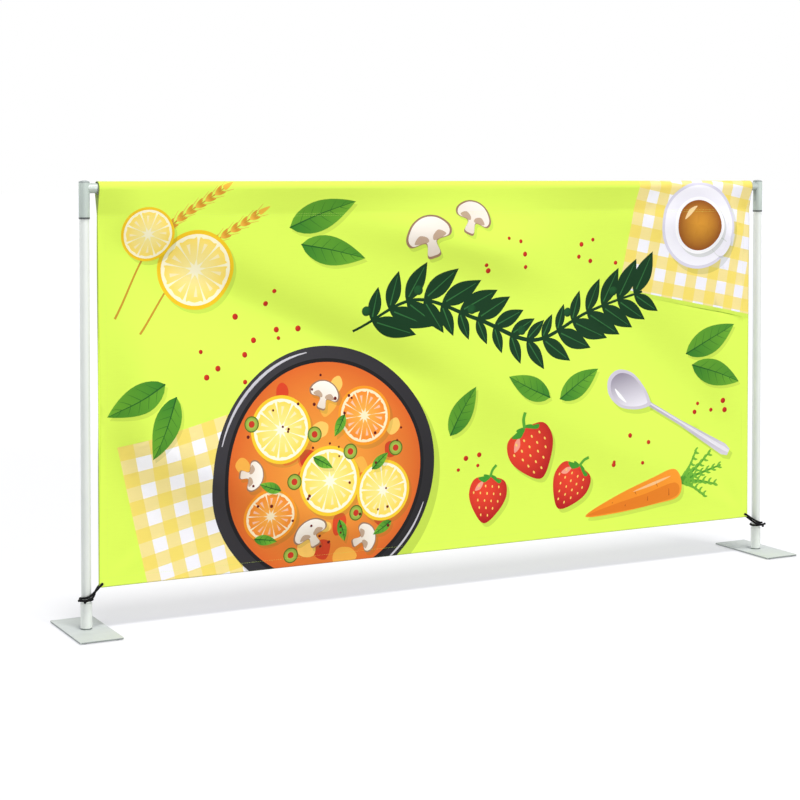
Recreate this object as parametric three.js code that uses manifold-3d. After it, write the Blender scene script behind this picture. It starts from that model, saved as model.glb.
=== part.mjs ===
// Cafe barrier: two round posts on flat plates, a crossbar and a hanging banner.
// Millimetres. +X runs along the barrier, -Y is its printed front, +Z is up.
// The origin is on the floor, midway between the posts.

import * as THREE from 'three';
import { mergeVertices } from 'three/addons/utils/BufferGeometryUtils.js';
import Module from 'manifold-3d';

const wasm = await Module();
wasm.setup();

// Banner, its height over the floor, and the posts' reach past its edges
const bannerWidth = 1829;
const bannerHeight = 914;
const bannerClearance = 95;
const postReach = 1;
const postToBanner = 29;

// Fits: what is pressed or screwed together, what slides, and what turns
const seatGap = 0.3;
const slideGap = 0.5;
const turnGap = 0.3;
const cutOverrun = 2;

// Base plate and its rubber feet
const plateWidth = 100;
const plateDepth = 225;
const plateThickness = 4;
const plateCorner = 3;
const footHeight = 2;
const footRadius = 7;
const footInset = 13;

// Screw from below that clamps the plate to the socket
const baseScrewRadius = 4;
const baseScrewHeadRadius = 8;
const baseScrewHeadHeight = 3;
const baseScrewRecess = 0.3;
const baseScrewGrip = 14;
const baseScrewHexRadius = 2.6;
const baseScrewHexDepth = 2;

// Socket tube at the foot of the post, and the block inside it
const socketHeight = 58;
const socketWall = 1.5;
const socketPlugHeight = 18;

// Pole
const poleRadius = 11;
const poleWall = 1.5;
const endPlugFlange = 3;
const endPlugInsert = 16;
const endPlugWall = 2;

// Head: sleeve, ring and cap
const headLength = 86;
const sleeveWall = 0.9;
const ringHeight = 4;
const ringStep = 0.3;
const capRim = 1.6;
const capDome = 3.4;
const capShank = 38;
const capShankWall = 3;

// Spigot, the stub that carries the crossbar
const spigotRadius = 11;
const spigotLength = 78;
const spigotBoreRadius = 7.5;
const spigotEndWall = 7;
const spigotLead = 1.5;
const spigotScrewRadius = 3;
const spigotScrewHeadRadius = 5;
const spigotScrewHeadHeight = 6;
const spigotScrewHexRadius = 2.5;
const spigotScrewHexDepth = 3;

// Crossbar
const barRadius = 15;
const barWall = 1.5;
const barInset = 4;
const barHoleClear = 0.4;
const bushLength = 40;
const bushFlange = 2;

// Joiner in the middle of the crossbar, with its rivet
const joinerLength = 180;
const joinerWall = 1.5;
const rivetFromMiddle = 60;
const rivetRadius = 2;
const rivetHeadRadius = 4;
const rivetHeadHeight = 1.4;
const rivetTailRadius = 3;
const rivetTailHeight = 2.2;

// Snap button and its spring
const buttonFromMiddle = 45;
const buttonRadius = 4;
const buttonProud = 3.2;
const buttonDome = 1.6;
const buttonCollarRadius = 5.5;
const buttonCollarHeight = 1.5;
const springThickness = 0.8;
const springWidth = 8;
const springReach = 36;
const springLand = 6;
const springBendShare = 0.24;
const springTurnShare = 0.9;

// Banner cloth
const clothThickness = 1;
const pocketDepth = 76;
const pocketGap = 0.4;
const seamHeight = 2;
const foldHeight = 8;
const foldSpread = 80;
const foldFade = 150;

// Eyelet and tie at each lower corner
const eyeletInset = 8;
const eyeletHoleRadius = 2.9;
const eyeletWall = 0.6;
const eyeletFlange = 2;
const eyeletPlate = 0.7;
const tieRadius = 2;
const tieDrop = 30.7;
const bendLength = 10;

// How finely round shapes and the cloth are divided
const tubeSides = 32;
const screwSides = 20;
const hexSides = 6;
const tieSides = 8;
const tieSteps = 66;
const gapSamples = 300;
const clothStations = 22;
const panelRows = 14;
const pocketSteps = 9;
const boreSteps = 9;
const domeSteps = 4;
const bendSteps = 8;
const cornerSteps = 4;

// Places that follow from the sizes above
const bannerBottom = bannerClearance;
const bannerTop = bannerBottom + bannerHeight;
const overallHeight = bannerTop + postReach;
const postSpacing = bannerWidth + 2 * postToBanner;
const plateBottom = footHeight;
const plateTop = plateBottom + plateThickness;
const socketBottom = plateTop + turnGap;
const socketTop = socketBottom + socketHeight;
const socketInner = poleRadius + slideGap;
const socketOuter = socketInner + socketWall;
const plugTop = socketBottom + socketPlugHeight;
const poleInner = poleRadius - poleWall;
const endPlugBottom = plugTop;
const poleBottom = endPlugBottom + endPlugFlange;
const capSeat = overallHeight - capDome - capRim;
const sleeveInner = poleRadius + seatGap;
const sleeveOuter = sleeveInner + sleeveWall;
const ringBottom = overallHeight - headLength;
const sleeveBottom = ringBottom + ringHeight;
const barAxis = bannerTop - clothThickness - pocketGap - barRadius;
const barInner = barRadius - barWall;
const barHalf = bannerWidth / 2 - barInset;
const joinerOuter = barInner - seatGap;
const joinerInner = joinerOuter - joinerWall;
const joinerHalf = joinerLength / 2;
const eyeletBarrel = eyeletHoleRadius + eyeletWall;
const eyeletHeight = bannerBottom + eyeletInset;
const tieHeight = eyeletHeight - tieDrop;

const finishes = {
  plateSteel: { color: 0xdde3df, roughness: 0.38, metalness: 0.6 },
  poleMetal: { color: 0xe2e7e3, roughness: 0.3, metalness: 0.7 },
  headMetal: { color: 0xb0b8b5, roughness: 0.35, metalness: 0.7 },
  ringPlastic: { color: 0x55595a, roughness: 0.5, metalness: 0 },
  capPlastic: { color: 0x9aa29f, roughness: 0.45, metalness: 0 },
  plugPlastic: { color: 0x3a3d3f, roughness: 0.55, metalness: 0 },
  screwSteel: { color: 0xa8adb0, roughness: 0.35, metalness: 0.9 },
  springSteel: { color: 0x8e9398, roughness: 0.3, metalness: 0.9 },
  rubber: { color: 0x1c1c1d, roughness: 0.85, metalness: 0 },
  barMetal: { color: 0xc6cbcc, roughness: 0.35, metalness: 0.8 },
  cloth: { color: 0xdfff5a, roughness: 0.85, metalness: 0 },
  eyeletMetal: { color: 0xc9ccca, roughness: 0.3, metalness: 0.9 },
  elastic: { color: 0x0b0b0c, roughness: 0.8, metalness: 0 },
};

const barrier = new THREE.Group();

function addPiece(parent, name, finish, geometry) {
  const mesh = new THREE.Mesh(geometry, new THREE.MeshStandardMaterial(finishes[finish]));
  mesh.name = name;
  parent.add(mesh);
  return mesh;
}

// Turned shapes: [radius, height] pairs up the outside, turned about Z

function turned(pairs, sides = tubeSides) {
  const profile = pairs.map(([radius, height]) => new THREE.Vector2(radius, height));
  const geometry = new THREE.LatheGeometry(profile, sides);
  geometry.rotateX(Math.PI / 2);
  return geometry;
}

function disc(radius, bottom, top, sides = tubeSides) {
  return turned([[0, bottom], [radius, bottom], [radius, top], [0, top]], sides);
}

function tube(outer, inner, bottom, top, sides = tubeSides) {
  return turned([[inner, bottom], [outer, bottom], [outer, top], [inner, top], [inner, bottom]], sides);
}

// A dome's [radius, height] pairs, from its rim up to the axis

function dome(radius, bottom, height) {
  const pairs = [];
  for (let step = 1; step <= domeSteps; step += 1) {
    const angle = (step / domeSteps) * (Math.PI / 2);
    const across = step === domeSteps ? 0 : radius * Math.cos(angle);
    pairs.push([across, bottom + height * Math.sin(angle)]);
  }
  return pairs;
}

// Lays a shape that was turned about Z along X, so that up becomes +X

function alongX(geometry) {
  geometry.rotateY(Math.PI / 2);
  return geometry;
}

// Cutting

function asSolid(geometry) {
  const bare = geometry.clone();
  bare.deleteAttribute('normal');
  bare.deleteAttribute('uv');
  const merged = mergeVertices(bare);
  return new wasm.Manifold(new wasm.Mesh({
    numProp: 3,
    vertProperties: new Float32Array(merged.attributes.position.array),
    triVerts: new Uint32Array(merged.index.array),
  }));
}

function asGeometry(solid) {
  const mesh = solid.getMesh();
  const geometry = new THREE.BufferGeometry();
  geometry.setAttribute('position', new THREE.BufferAttribute(mesh.vertProperties, 3));
  geometry.setIndex(new THREE.BufferAttribute(mesh.triVerts, 1));
  geometry.computeVertexNormals();
  return geometry;
}

function cut(geometry, ...cutters) {
  let solid = asSolid(geometry);
  for (const cutter of cutters) {
    solid = solid.subtract(asSolid(cutter));
  }
  return asGeometry(solid);
}

function hexKey(radius, bottom, top) {
  return disc(radius, bottom, top, hexSides);
}

// Base: plate, feet, screw, socket plug and socket tube

function plateGeometry() {
  const halfWidth = plateWidth / 2;
  const halfDepth = plateDepth / 2;
  const outline = new THREE.Shape();
  const corners = [[1, -1, -Math.PI / 2], [1, 1, 0], [-1, 1, Math.PI / 2], [-1, -1, Math.PI]];
  for (const [sideX, sideY, from] of corners) {
    const x = sideX * (halfWidth - plateCorner);
    const y = sideY * (halfDepth - plateCorner);
    outline.absarc(x, y, plateCorner, from, from + Math.PI / 2, false);
  }
  outline.closePath();
  const slab = new THREE.ExtrudeGeometry(outline, {
    depth: plateThickness,
    bevelEnabled: false,
    curveSegments: cornerSteps,
  });
  slab.translate(0, 0, plateBottom);
  const sinkTop = plateBottom + baseScrewRecess + baseScrewHeadHeight;
  const countersink = turned([
    [0, plateBottom - cutOverrun],
    [baseScrewHeadRadius + seatGap, plateBottom - cutOverrun],
    [baseScrewHeadRadius + seatGap, plateBottom + baseScrewRecess],
    [baseScrewRadius + seatGap, sinkTop],
    [baseScrewRadius + seatGap, plateTop + cutOverrun],
    [0, plateTop + cutOverrun],
  ], screwSides);
  return cut(slab, countersink);
}

function baseScrewGeometry() {
  const headBottom = plateBottom + baseScrewRecess;
  const screw = turned([
    [0, headBottom],
    [baseScrewHeadRadius, headBottom],
    [baseScrewRadius, headBottom + baseScrewHeadHeight],
    [baseScrewRadius, socketBottom + baseScrewGrip],
    [0, socketBottom + baseScrewGrip],
  ], screwSides);
  return cut(screw, hexKey(baseScrewHexRadius, headBottom - cutOverrun, headBottom + baseScrewHexDepth));
}

function addBase(post, side) {
  addPiece(post, `base_plate_${side}`, 'plateSteel', plateGeometry());
  const footX = plateWidth / 2 - footInset;
  const footY = plateDepth / 2 - footInset;
  const places = [[-footX, -footY], [footX, -footY], [footX, footY], [-footX, footY]];
  places.forEach(([x, y], index) => {
    const foot = disc(footRadius, 0, footHeight, screwSides);
    foot.translate(x, y, 0);
    addPiece(post, `base_foot_${side}_${index + 1}`, 'rubber', foot);
  });
  addPiece(post, `base_screw_${side}`, 'screwSteel', baseScrewGeometry());
  const plugHole = baseScrewRadius + seatGap;
  const plug = tube(socketInner - seatGap, plugHole, socketBottom, plugTop);
  addPiece(post, `socket_plug_${side}`, 'screwSteel', plug);
  const socket = tube(socketOuter, socketInner, socketBottom, socketTop);
  addPiece(post, `base_socket_${side}`, 'poleMetal', socket);
}

// Post: pole, end plug and head

// A cutter along +X at the height of the crossbar's axis

function sideCutter(radius, from, to) {
  const cutter = alongX(disc(radius, from, to, screwSides));
  cutter.translate(0, 0, barAxis);
  return cutter;
}

function addPole(post, side) {
  const screwHole = spigotScrewRadius + seatGap;
  const reach = sleeveOuter + cutOverrun;
  const pole = cut(tube(poleRadius, poleInner, poleBottom, capSeat), sideCutter(screwHole, 0, reach));
  addPiece(post, `pole_${side}`, 'poleMetal', pole);
  const insertRadius = poleInner - seatGap;
  const endPlug = turned([
    [0, endPlugBottom],
    [poleRadius, endPlugBottom],
    [poleRadius, poleBottom],
    [insertRadius, poleBottom],
    [insertRadius, poleBottom + endPlugInsert],
    [insertRadius - endPlugWall, poleBottom + endPlugInsert],
    [insertRadius - endPlugWall, poleBottom],
    [0, poleBottom],
  ]);
  addPiece(post, `pole_end_plug_${side}`, 'plugPlastic', endPlug);
}

function addHead(post, side) {
  const screwHole = spigotScrewRadius + seatGap;
  const reach = sleeveOuter + cutOverrun;
  const sleeve = cut(tube(sleeveOuter, sleeveInner, sleeveBottom, capSeat), sideCutter(screwHole, 0, reach));
  addPiece(post, `head_sleeve_${side}`, 'headMetal', sleeve);
  const ring = tube(sleeveOuter + ringStep, sleeveInner, ringBottom, sleeveBottom);
  addPiece(post, `head_ring_${side}`, 'ringPlastic', ring);
  const shankRadius = poleInner - seatGap;
  addPiece(post, `head_cap_${side}`, 'capPlastic', headCapGeometry(shankRadius, screwHole));
}

// The cap's shank is a solid core in the pole, with the screw's hole across it

function headCapGeometry(shankRadius, holeRadius) {
  const body = turned([
    [0, capSeat - capShank],
    [shankRadius, capSeat - capShank],
    [shankRadius, capSeat],
    [sleeveOuter, capSeat],
    [sleeveOuter, capSeat + capRim],
    ...dome(sleeveOuter, capSeat + capRim, capDome),
  ]);
  return cut(body, sideCutter(holeRadius, -shankRadius - cutOverrun, shankRadius + cutOverrun));
}

// Spigot with its saddle end, and the cap screw inside it

function spigotGeometry() {
  const saddle = sleeveOuter + seatGap;
  const end = saddle + spigotLength;
  const seat = saddle + spigotEndWall;
  const body = alongX(turned([
    [0, 0],
    [spigotRadius, 0],
    [spigotRadius, end - spigotLead],
    [spigotRadius - spigotLead, end],
    [spigotBoreRadius, end],
    [spigotBoreRadius, seat],
    [spigotScrewRadius + seatGap, seat],
    [spigotScrewRadius + seatGap, cutOverrun],
    [0, cutOverrun],
  ]));
  body.translate(0, 0, barAxis);
  const post = disc(saddle, barAxis - spigotRadius - cutOverrun, barAxis + spigotRadius + cutOverrun);
  return cut(body, post);
}

function spigotScrewGeometry() {
  const seat = sleeveOuter + seatGap + spigotEndWall + seatGap;
  const tip = -(poleInner - seatGap - capShankWall);
  const screw = turned([
    [0, tip],
    [spigotScrewRadius, tip],
    [spigotScrewRadius, seat],
    [spigotScrewHeadRadius, seat],
    [spigotScrewHeadRadius, seat + spigotScrewHeadHeight],
    [0, seat + spigotScrewHeadHeight],
  ], screwSides);
  const headTop = seat + spigotScrewHeadHeight;
  const key = hexKey(spigotScrewHexRadius, headTop - spigotScrewHexDepth, headTop + cutOverrun);
  const geometry = alongX(cut(screw, key));
  geometry.translate(0, 0, barAxis);
  return geometry;
}

function addSpigot(post, side) {
  addPiece(post, `spigot_${side}`, 'poleMetal', spigotGeometry());
  addPiece(post, `spigot_screw_${side}`, 'screwSteel', spigotScrewGeometry());
}

// Flanged bush in the crossbar's outer end, in the post's own directions

function addBarBush(post, side) {
  const barEnd = postToBanner + barInset;
  const bush = alongX(turned([
    [spigotRadius + seatGap, barEnd - bushFlange],
    [barRadius, barEnd - bushFlange],
    [barRadius, barEnd],
    [barInner - seatGap, barEnd],
    [barInner - seatGap, barEnd + bushLength],
    [spigotRadius + seatGap, barEnd + bushLength],
    [spigotRadius + seatGap, barEnd - bushFlange],
  ]));
  bush.translate(0, 0, barAxis);
  addPiece(post, `bar_bush_${side}`, 'plugPlastic', bush);
}

// Crossbar, joiner, rivet, snap button and spring

function addCrossbar() {
  const buttonHole = disc(buttonRadius + barHoleClear, -barRadius - cutOverrun, 0, screwSides);
  buttonHole.translate(buttonFromMiddle, 0, 0);
  const rivetHole = disc(rivetRadius + barHoleClear, -barRadius - cutOverrun, 0, screwSides);
  rivetHole.translate(-rivetFromMiddle, 0, 0);
  const halves = {
    crossbar_left: cut(alongX(tube(barRadius, barInner, -barHalf, -seatGap / 2)), rivetHole),
    crossbar_right: cut(alongX(tube(barRadius, barInner, seatGap / 2, barHalf)), buttonHole),
  };
  for (const [name, geometry] of Object.entries(halves)) {
    addPiece(barrier, name, 'barMetal', geometry).position.z = barAxis;
  }
  const joiner = cut(alongX(tube(joinerOuter, joinerInner, -joinerHalf, joinerHalf)), rivetHole, buttonHole);
  addPiece(barrier, 'bar_joiner', 'barMetal', joiner).position.z = barAxis;
  addPiece(barrier, 'joiner_rivet', 'screwSteel', rivetGeometry()).position.z = barAxis;
  addPiece(barrier, 'snap_button', 'screwSteel', buttonGeometry()).position.z = barAxis;
  addPiece(barrier, 'snap_spring', 'springSteel', springGeometry()).position.z = barAxis;
}

// Blind rivet from below: its domed head outside, its formed tail in the joiner

function rivetGeometry() {
  const headSeat = -barRadius - seatGap;
  const tailSeat = -joinerInner + seatGap;
  const outline = dome(rivetHeadRadius, 0, rivetHeadHeight)
    .reverse()
    .map(([radius, rise]) => [radius, headSeat - rise]);
  const rivet = turned([
    ...outline,
    [rivetHeadRadius, headSeat],
    [rivetRadius, headSeat],
    [rivetRadius, tailSeat],
    [rivetTailRadius, tailSeat + rivetTailHeight / 2],
    [rivetRadius, tailSeat + rivetTailHeight],
    [0, tailSeat + rivetTailHeight],
  ], screwSides);
  rivet.translate(-rivetFromMiddle, 0, 0);
  return rivet;
}

// The height above the bar's axis at which the button's collar rests on the joiner

function collarRest() {
  return -Math.sqrt(joinerInner ** 2 - buttonCollarRadius ** 2) + seatGap;
}

function buttonGeometry() {
  const shoulder = -barRadius - buttonProud + buttonDome;
  const tip = dome(buttonRadius, 0, buttonDome)
    .reverse()
    .map(([radius, rise]) => [radius, shoulder - rise]);
  const button = turned([
    ...tip,
    [buttonRadius, shoulder],
    [buttonRadius, collarRest()],
    [buttonCollarRadius, collarRest()],
    [buttonCollarRadius, collarRest() + buttonCollarHeight],
    [0, collarRest() + buttonCollarHeight],
  ], screwSides);
  button.translate(buttonFromMiddle, 0, 0);
  return button;
}

// A bent strip: the upper leaf lies under the joiner's top, the lower one on the button

function springGeometry() {
  const half = springThickness / 2;
  const top = Math.sqrt(joinerInner ** 2 - (springWidth / 2) ** 2) - seatGap - half;
  const low = collarRest() + buttonCollarHeight + seatGap + half;
  const bendRadius = (top - low) * springBendShare;
  const bendX = buttonFromMiddle - springReach;
  const line = [new THREE.Vector2(buttonFromMiddle + springLand, top), new THREE.Vector2(bendX, top)];
  for (let step = 1; step <= bendSteps; step += 1) {
    const angle = Math.PI / 2 + (step / bendSteps) * Math.PI * springTurnShare;
    line.push(new THREE.Vector2(
      bendX + bendRadius * Math.cos(angle),
      top - bendRadius + bendRadius * Math.sin(angle),
    ));
  }
  line.push(new THREE.Vector2(buttonFromMiddle - springLand, low));
  line.push(new THREE.Vector2(buttonFromMiddle + springLand, low));
  const strip = new THREE.ExtrudeGeometry(ribbon(line, half), { depth: springWidth, bevelEnabled: false });
  strip.rotateX(Math.PI / 2);
  strip.translate(0, springWidth / 2, 0);
  return strip;
}

// The closed outline of a strip of even thickness along a line

function ribbon(line, half) {
  const offsets = line.map((point, index) => {
    const before = line[Math.max(index - 1, 0)];
    const after = line[Math.min(index + 1, line.length - 1)];
    const along = after.clone().sub(before).normalize();
    return new THREE.Vector2(-along.y, along.x).multiplyScalar(half);
  });
  const left = line.map((point, index) => point.clone().add(offsets[index]));
  const right = line.map((point, index) => point.clone().sub(offsets[index]));
  return new THREE.Shape([...left, ...right.reverse()]);
}

// Banner: one cloth, with a pocket over the crossbar and shallow slanting folds

// Each fold: where its crest starts and ends, as shares of the banner's width and
// height from its top left, then its rise and its spread, as shares of the largest
const foldShares = [
  { from: [0.16, 0.1], to: [0.3, 0.62], rise: -0.75, spread: 0.9 },
  { from: [0.24, 0.08], to: [0.46, 0.5], rise: 0.9, spread: 0.95 },
  { from: [0.42, 0.08], to: [0.62, 0.42], rise: -0.75, spread: 0.9 },
  { from: [0.54, 0.08], to: [0.86, 0.4], rise: 1, spread: 1 },
  { from: [0.74, 0.1], to: [0.97, 0.3], rise: -0.75, spread: 0.9 },
  { from: [0.08, 0.62], to: [0.3, 0.95], rise: 0.6, spread: 1 },
  { from: [0.6, 0.6], to: [0.9, 0.92], rise: 0.5, spread: 1.1 },
];

function foldAt(x, z) {
  const across = x + bannerWidth / 2;
  const down = bannerTop - z;
  let offset = 0;
  for (const fold of foldShares) {
    const start = new THREE.Vector2(fold.from[0] * bannerWidth, fold.from[1] * bannerHeight);
    const end = new THREE.Vector2(fold.to[0] * bannerWidth, fold.to[1] * bannerHeight);
    const along = end.clone().sub(start);
    const point = new THREE.Vector2(across, down).sub(start);
    const share = THREE.MathUtils.clamp(point.dot(along) / along.lengthSq(), 0, 1);
    const distance = point.sub(along.multiplyScalar(share)).length();
    offset += fold.rise * foldHeight * Math.exp(-((distance / (fold.spread * foldSpread)) ** 2));
  }
  const fromSide = Math.min(across, bannerWidth - across);
  const fromSeam = THREE.MathUtils.smoothstep(down, pocketDepth, pocketDepth + foldFade);
  const fromEdge = THREE.MathUtils.smoothstep(fromSide, 0, foldFade);
  const fromHem = THREE.MathUtils.smoothstep(bannerHeight - down, 0, foldFade);
  return offset * fromSeam * fromEdge * fromHem;
}

// The cloth over the bar as [y, z] pairs, from its front over the top to its back.
// The middles of its flats lie at the radius, so that the bar clears them

function pocketArc(radius, steps) {
  const seam = bannerTop - pocketDepth;
  const tangent = Math.asin(radius / (barAxis - seam));
  const turn = (Math.PI + 2 * tangent) / steps;
  const corner = radius / Math.cos(turn / 2);
  const pairs = [];
  for (let step = 0; step <= steps; step += 1) {
    const angle = step * turn - tangent;
    pairs.push([-corner * Math.cos(angle), barAxis + corner * Math.sin(angle)]);
  }
  return pairs;
}

function clothGeometry() {
  const half = clothThickness / 2;
  const seam = bannerTop - pocketDepth;
  const boreRadius = barRadius + pocketGap;
  const rows = [];
  for (let row = 0; row <= panelRows; row += 1) {
    rows.push(bannerBottom + (row / panelRows) * (seam - bannerBottom));
  }
  const front = rows.map((z) => [-half, z, true]);
  const back = rows.map((z) => [half, z, true]).reverse();
  const over = pocketArc(boreRadius + clothThickness, pocketSteps).map(([y, z]) => [y, z, false]);
  const outer = [...front, ...over, ...back];
  const bore = pocketArc(boreRadius, boreSteps).map(([y, z]) => [y, z, false]);
  bore.push([0, seam + seamHeight, false]);

  const positions = [];
  const index = [];
  const ring = outer.length + bore.length;
  for (let station = 0; station < clothStations; station += 1) {
    const x = -bannerWidth / 2 + (station / (clothStations - 1)) * bannerWidth;
    for (const [y, z, folds] of [...outer, ...bore]) {
      positions.push(x, y + (folds ? foldAt(x, z) : 0), z);
    }
  }
  // Front and back are split along the same diagonals, so the cloth is as thick all over
  const wall = (first, places, inward) => {
    for (let station = 0; station < clothStations - 1; station += 1) {
      for (let step = 0; step < places.length; step += 1) {
        const after = (step + 1) % places.length;
        const here = station * ring + first + step;
        const next = station * ring + first + after;
        const rises = places[after][1] > places[step][1];
        const quad = rises
          ? [here, here + ring, next, next, here + ring, next + ring]
          : [here, here + ring, next + ring, here, next + ring, next];
        index.push(...(inward ? [...quad].reverse() : quad));
      }
    }
  };
  wall(0, outer, false);
  wall(outer.length, bore, true);
  const flat = (places) => places.map(([y, z]) => new THREE.Vector2(y, z));
  const faces = THREE.ShapeUtils.triangulateShape(flat(outer), [flat(bore)]);
  const last = (clothStations - 1) * ring;
  for (const [a, b, c] of faces) {
    index.push(a, c, b);
    index.push(last + a, last + b, last + c);
  }
  const geometry = new THREE.BufferGeometry();
  geometry.setAttribute('position', new THREE.Float32BufferAttribute(positions, 3));
  geometry.setIndex(index);
  return geometry;
}

function asSolidCloth(geometry) {
  return new wasm.Manifold(new wasm.Mesh({
    numProp: 3,
    vertProperties: new Float32Array(geometry.attributes.position.array),
    triVerts: new Uint32Array(geometry.index.array),
  }));
}

// Eyelets along Y at the lower corners

function eyeletX(side) {
  return side * (bannerWidth / 2 - eyeletInset);
}

function eyeletCutter(side) {
  const reach = clothThickness + cutOverrun;
  const cutter = disc(eyeletBarrel + seatGap, -reach, reach, screwSides);
  cutter.rotateX(Math.PI / 2);
  cutter.translate(eyeletX(side), 0, eyeletHeight);
  return cutter;
}

function eyeletGeometry(side) {
  const inside = clothThickness / 2 + seatGap;
  const outside = inside + eyeletPlate;
  const eyelet = turned([
    [eyeletHoleRadius, -outside],
    [eyeletBarrel + eyeletFlange, -outside],
    [eyeletBarrel + eyeletFlange, -inside],
    [eyeletBarrel, -inside],
    [eyeletBarrel, inside],
    [eyeletBarrel + eyeletFlange, inside],
    [eyeletBarrel + eyeletFlange, outside],
    [eyeletHoleRadius, outside],
    [eyeletHoleRadius, -outside],
  ], screwSides);
  eyelet.rotateX(Math.PI / 2);
  eyelet.translate(eyeletX(side), 0, eyeletHeight);
  return eyelet;
}

// Tie: one elastic cord, hitched round the pole and threaded through the eyelet.
// Points from the post's axis at the height of the wrap, towards the banner (+x),
// to the back (+y) and up (+z)
const tieRoute = [
  [-23, -12.2, 2.2],
  [-18, -13.6, 1.5],
  [-12, -14.3, 0.8],
  [-5.5, -14.2, 0.2],
  [0, -13.9, 0],
  [5.3, -12.8, -0.1],
  [9.9, -9.7, -0.3],
  [12.9, -5.2, -0.5],
  [13.9, 0, -0.5],
  [12.8, 5.3, -0.4],
  [9.8, 9.8, -0.2],
  [5.3, 12.8, 0.1],
  [0, 13.9, 0.5],
  [-5.3, 12.8, 1],
  [-9.8, 9.8, 1.6],
  [-12.9, 5.3, 2.4],
  [-14.2, 0, 3.4],
  [-14.2, -5.5, 4.6],
  [-12.2, -11, 5.8],
  [-8, -15, 6.6],
  [-2.5, -16.3, 7.4],
  [4, -15.4, 9.4],
  [13, -12.2, 14.6],
  [22, -8.6, 20.6],
  [30, -5.6, 26.6],
  [35, -4.2, 30],
  [37.2, -1.6, 31],
  [37.2, 1.6, 31],
  [35.2, 4.3, 29.6],
  [31, 5.3, 26],
  [25, 4.2, 20.5],
  [20.2, 0, 14.6],
  [17, -6.4, 9.2],
  [12.5, -13, 4.6],
  [6.5, -18, 1.6],
  [0, -19.6, 0],
  [-6, -19.3, -2.4],
  [-10, -17.6, -5.4],
];

function tieCurve(side) {
  const points = tieRoute.map(([x, y, z]) => new THREE.Vector3(
    side * (postSpacing / 2 - x),
    y,
    z + tieHeight,
  ));
  return new THREE.CatmullRomCurve3(points, false, 'centripetal');
}

function tieGeometry(side) {
  const section = [];
  for (let step = 0; step < tieSides; step += 1) {
    const angle = (step / tieSides) * Math.PI * 2;
    section.push(new THREE.Vector2(tieRadius * Math.cos(angle), tieRadius * Math.sin(angle)));
  }
  return new THREE.ExtrudeGeometry(new THREE.Shape(section), {
    steps: tieSteps,
    extrudePath: tieCurve(side),
    bevelEnabled: false,
  });
}

// The least gap between stretches of the cord that lie further apart along it
// than a bend is long

function leastGap(curve) {
  const points = curve.getSpacedPoints(gapSamples);
  const apart = Math.ceil((bendLength * gapSamples) / curve.getLength());
  let least = Infinity;
  for (let first = 0; first < points.length; first += 1) {
    for (let second = first + apart; second < points.length; second += 1) {
      least = Math.min(least, points[first].distanceTo(points[second]));
    }
  }
  return least - 2 * tieRadius;
}

function addBanner() {
  const sides = { left: -1, right: 1 };
  let solid = asSolidCloth(clothGeometry());
  for (const side of Object.values(sides)) {
    solid = solid.subtract(asSolid(eyeletCutter(side)));
  }
  addPiece(barrier, 'banner', 'cloth', asGeometry(solid));
  for (const [name, side] of Object.entries(sides)) {
    addPiece(barrier, `eyelet_${name}`, 'eyeletMetal', eyeletGeometry(side));
    addPiece(barrier, `tie_${name}`, 'elastic', tieGeometry(side));
  }
  const cord = tieCurve(sides.left);
  console.log(`tie: ${cord.getLength().toFixed(1)} mm long, least gap ${leastGap(cord).toFixed(2)} mm`);
}

// A post stands at each end; the right one is the left one turned half round

function addPost(side, x, turn) {
  const post = new THREE.Group();
  post.position.x = x;
  post.rotation.z = turn;
  barrier.add(post);
  addBase(post, side);
  addPole(post, side);
  addHead(post, side);
  addSpigot(post, side);
  addBarBush(post, side);
}

addPost('left', -postSpacing / 2, 0);
addPost('right', postSpacing / 2, Math.PI);
addCrossbar();
addBanner();

export default barrier;
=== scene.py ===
import bisect
import math
import random

import bmesh
import bpy
import numpy
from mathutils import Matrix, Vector
from mathutils.geometry import delaunay_2d_cdt


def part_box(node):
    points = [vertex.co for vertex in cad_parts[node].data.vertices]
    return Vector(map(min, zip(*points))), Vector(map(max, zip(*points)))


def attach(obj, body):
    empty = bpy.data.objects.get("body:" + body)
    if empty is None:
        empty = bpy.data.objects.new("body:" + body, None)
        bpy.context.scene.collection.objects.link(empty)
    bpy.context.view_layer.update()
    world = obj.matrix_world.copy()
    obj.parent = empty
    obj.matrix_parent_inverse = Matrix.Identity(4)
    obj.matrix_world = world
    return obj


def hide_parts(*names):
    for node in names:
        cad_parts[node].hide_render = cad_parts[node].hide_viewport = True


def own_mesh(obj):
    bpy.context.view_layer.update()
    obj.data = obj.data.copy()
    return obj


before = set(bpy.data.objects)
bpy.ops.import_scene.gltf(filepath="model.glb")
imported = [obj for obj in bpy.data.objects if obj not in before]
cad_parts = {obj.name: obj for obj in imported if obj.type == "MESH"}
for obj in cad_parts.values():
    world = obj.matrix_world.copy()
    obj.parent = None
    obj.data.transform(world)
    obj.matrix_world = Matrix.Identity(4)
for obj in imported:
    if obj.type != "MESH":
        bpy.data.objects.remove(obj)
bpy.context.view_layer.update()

# A cafe barrier: two round posts on flat plates, and a printed banner hung between them.
# Metres. +X runs along the barrier, -Y is its printed front and +Z is up. The artwork
# on the banner is drawn in millimetres, from its top left corner.

mm = 0.001
sides = {"left": -1, "right": 1}
axes = {  # each with the turn that makes a circle face along it
    "X": (Vector((1, 0, 0)), (0, math.pi / 2, 0)),
    "Y": (Vector((0, 1, 0)), (math.pi / 2, 0, 0)),
    "Z": (Vector((0, 0, 1)), (0, 0, 0)),
}


# Camera, lamps and floor

view = {
    "place": (-2.1892, -3.8865, 1.0176),
    "turnDegrees": 27.683,  # from +Y towards +X
    "downDegrees": 1.719,
    "lensMm": 81.33,
    "sensorMm": 36,
    "shift": -0.2109,
}

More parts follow.
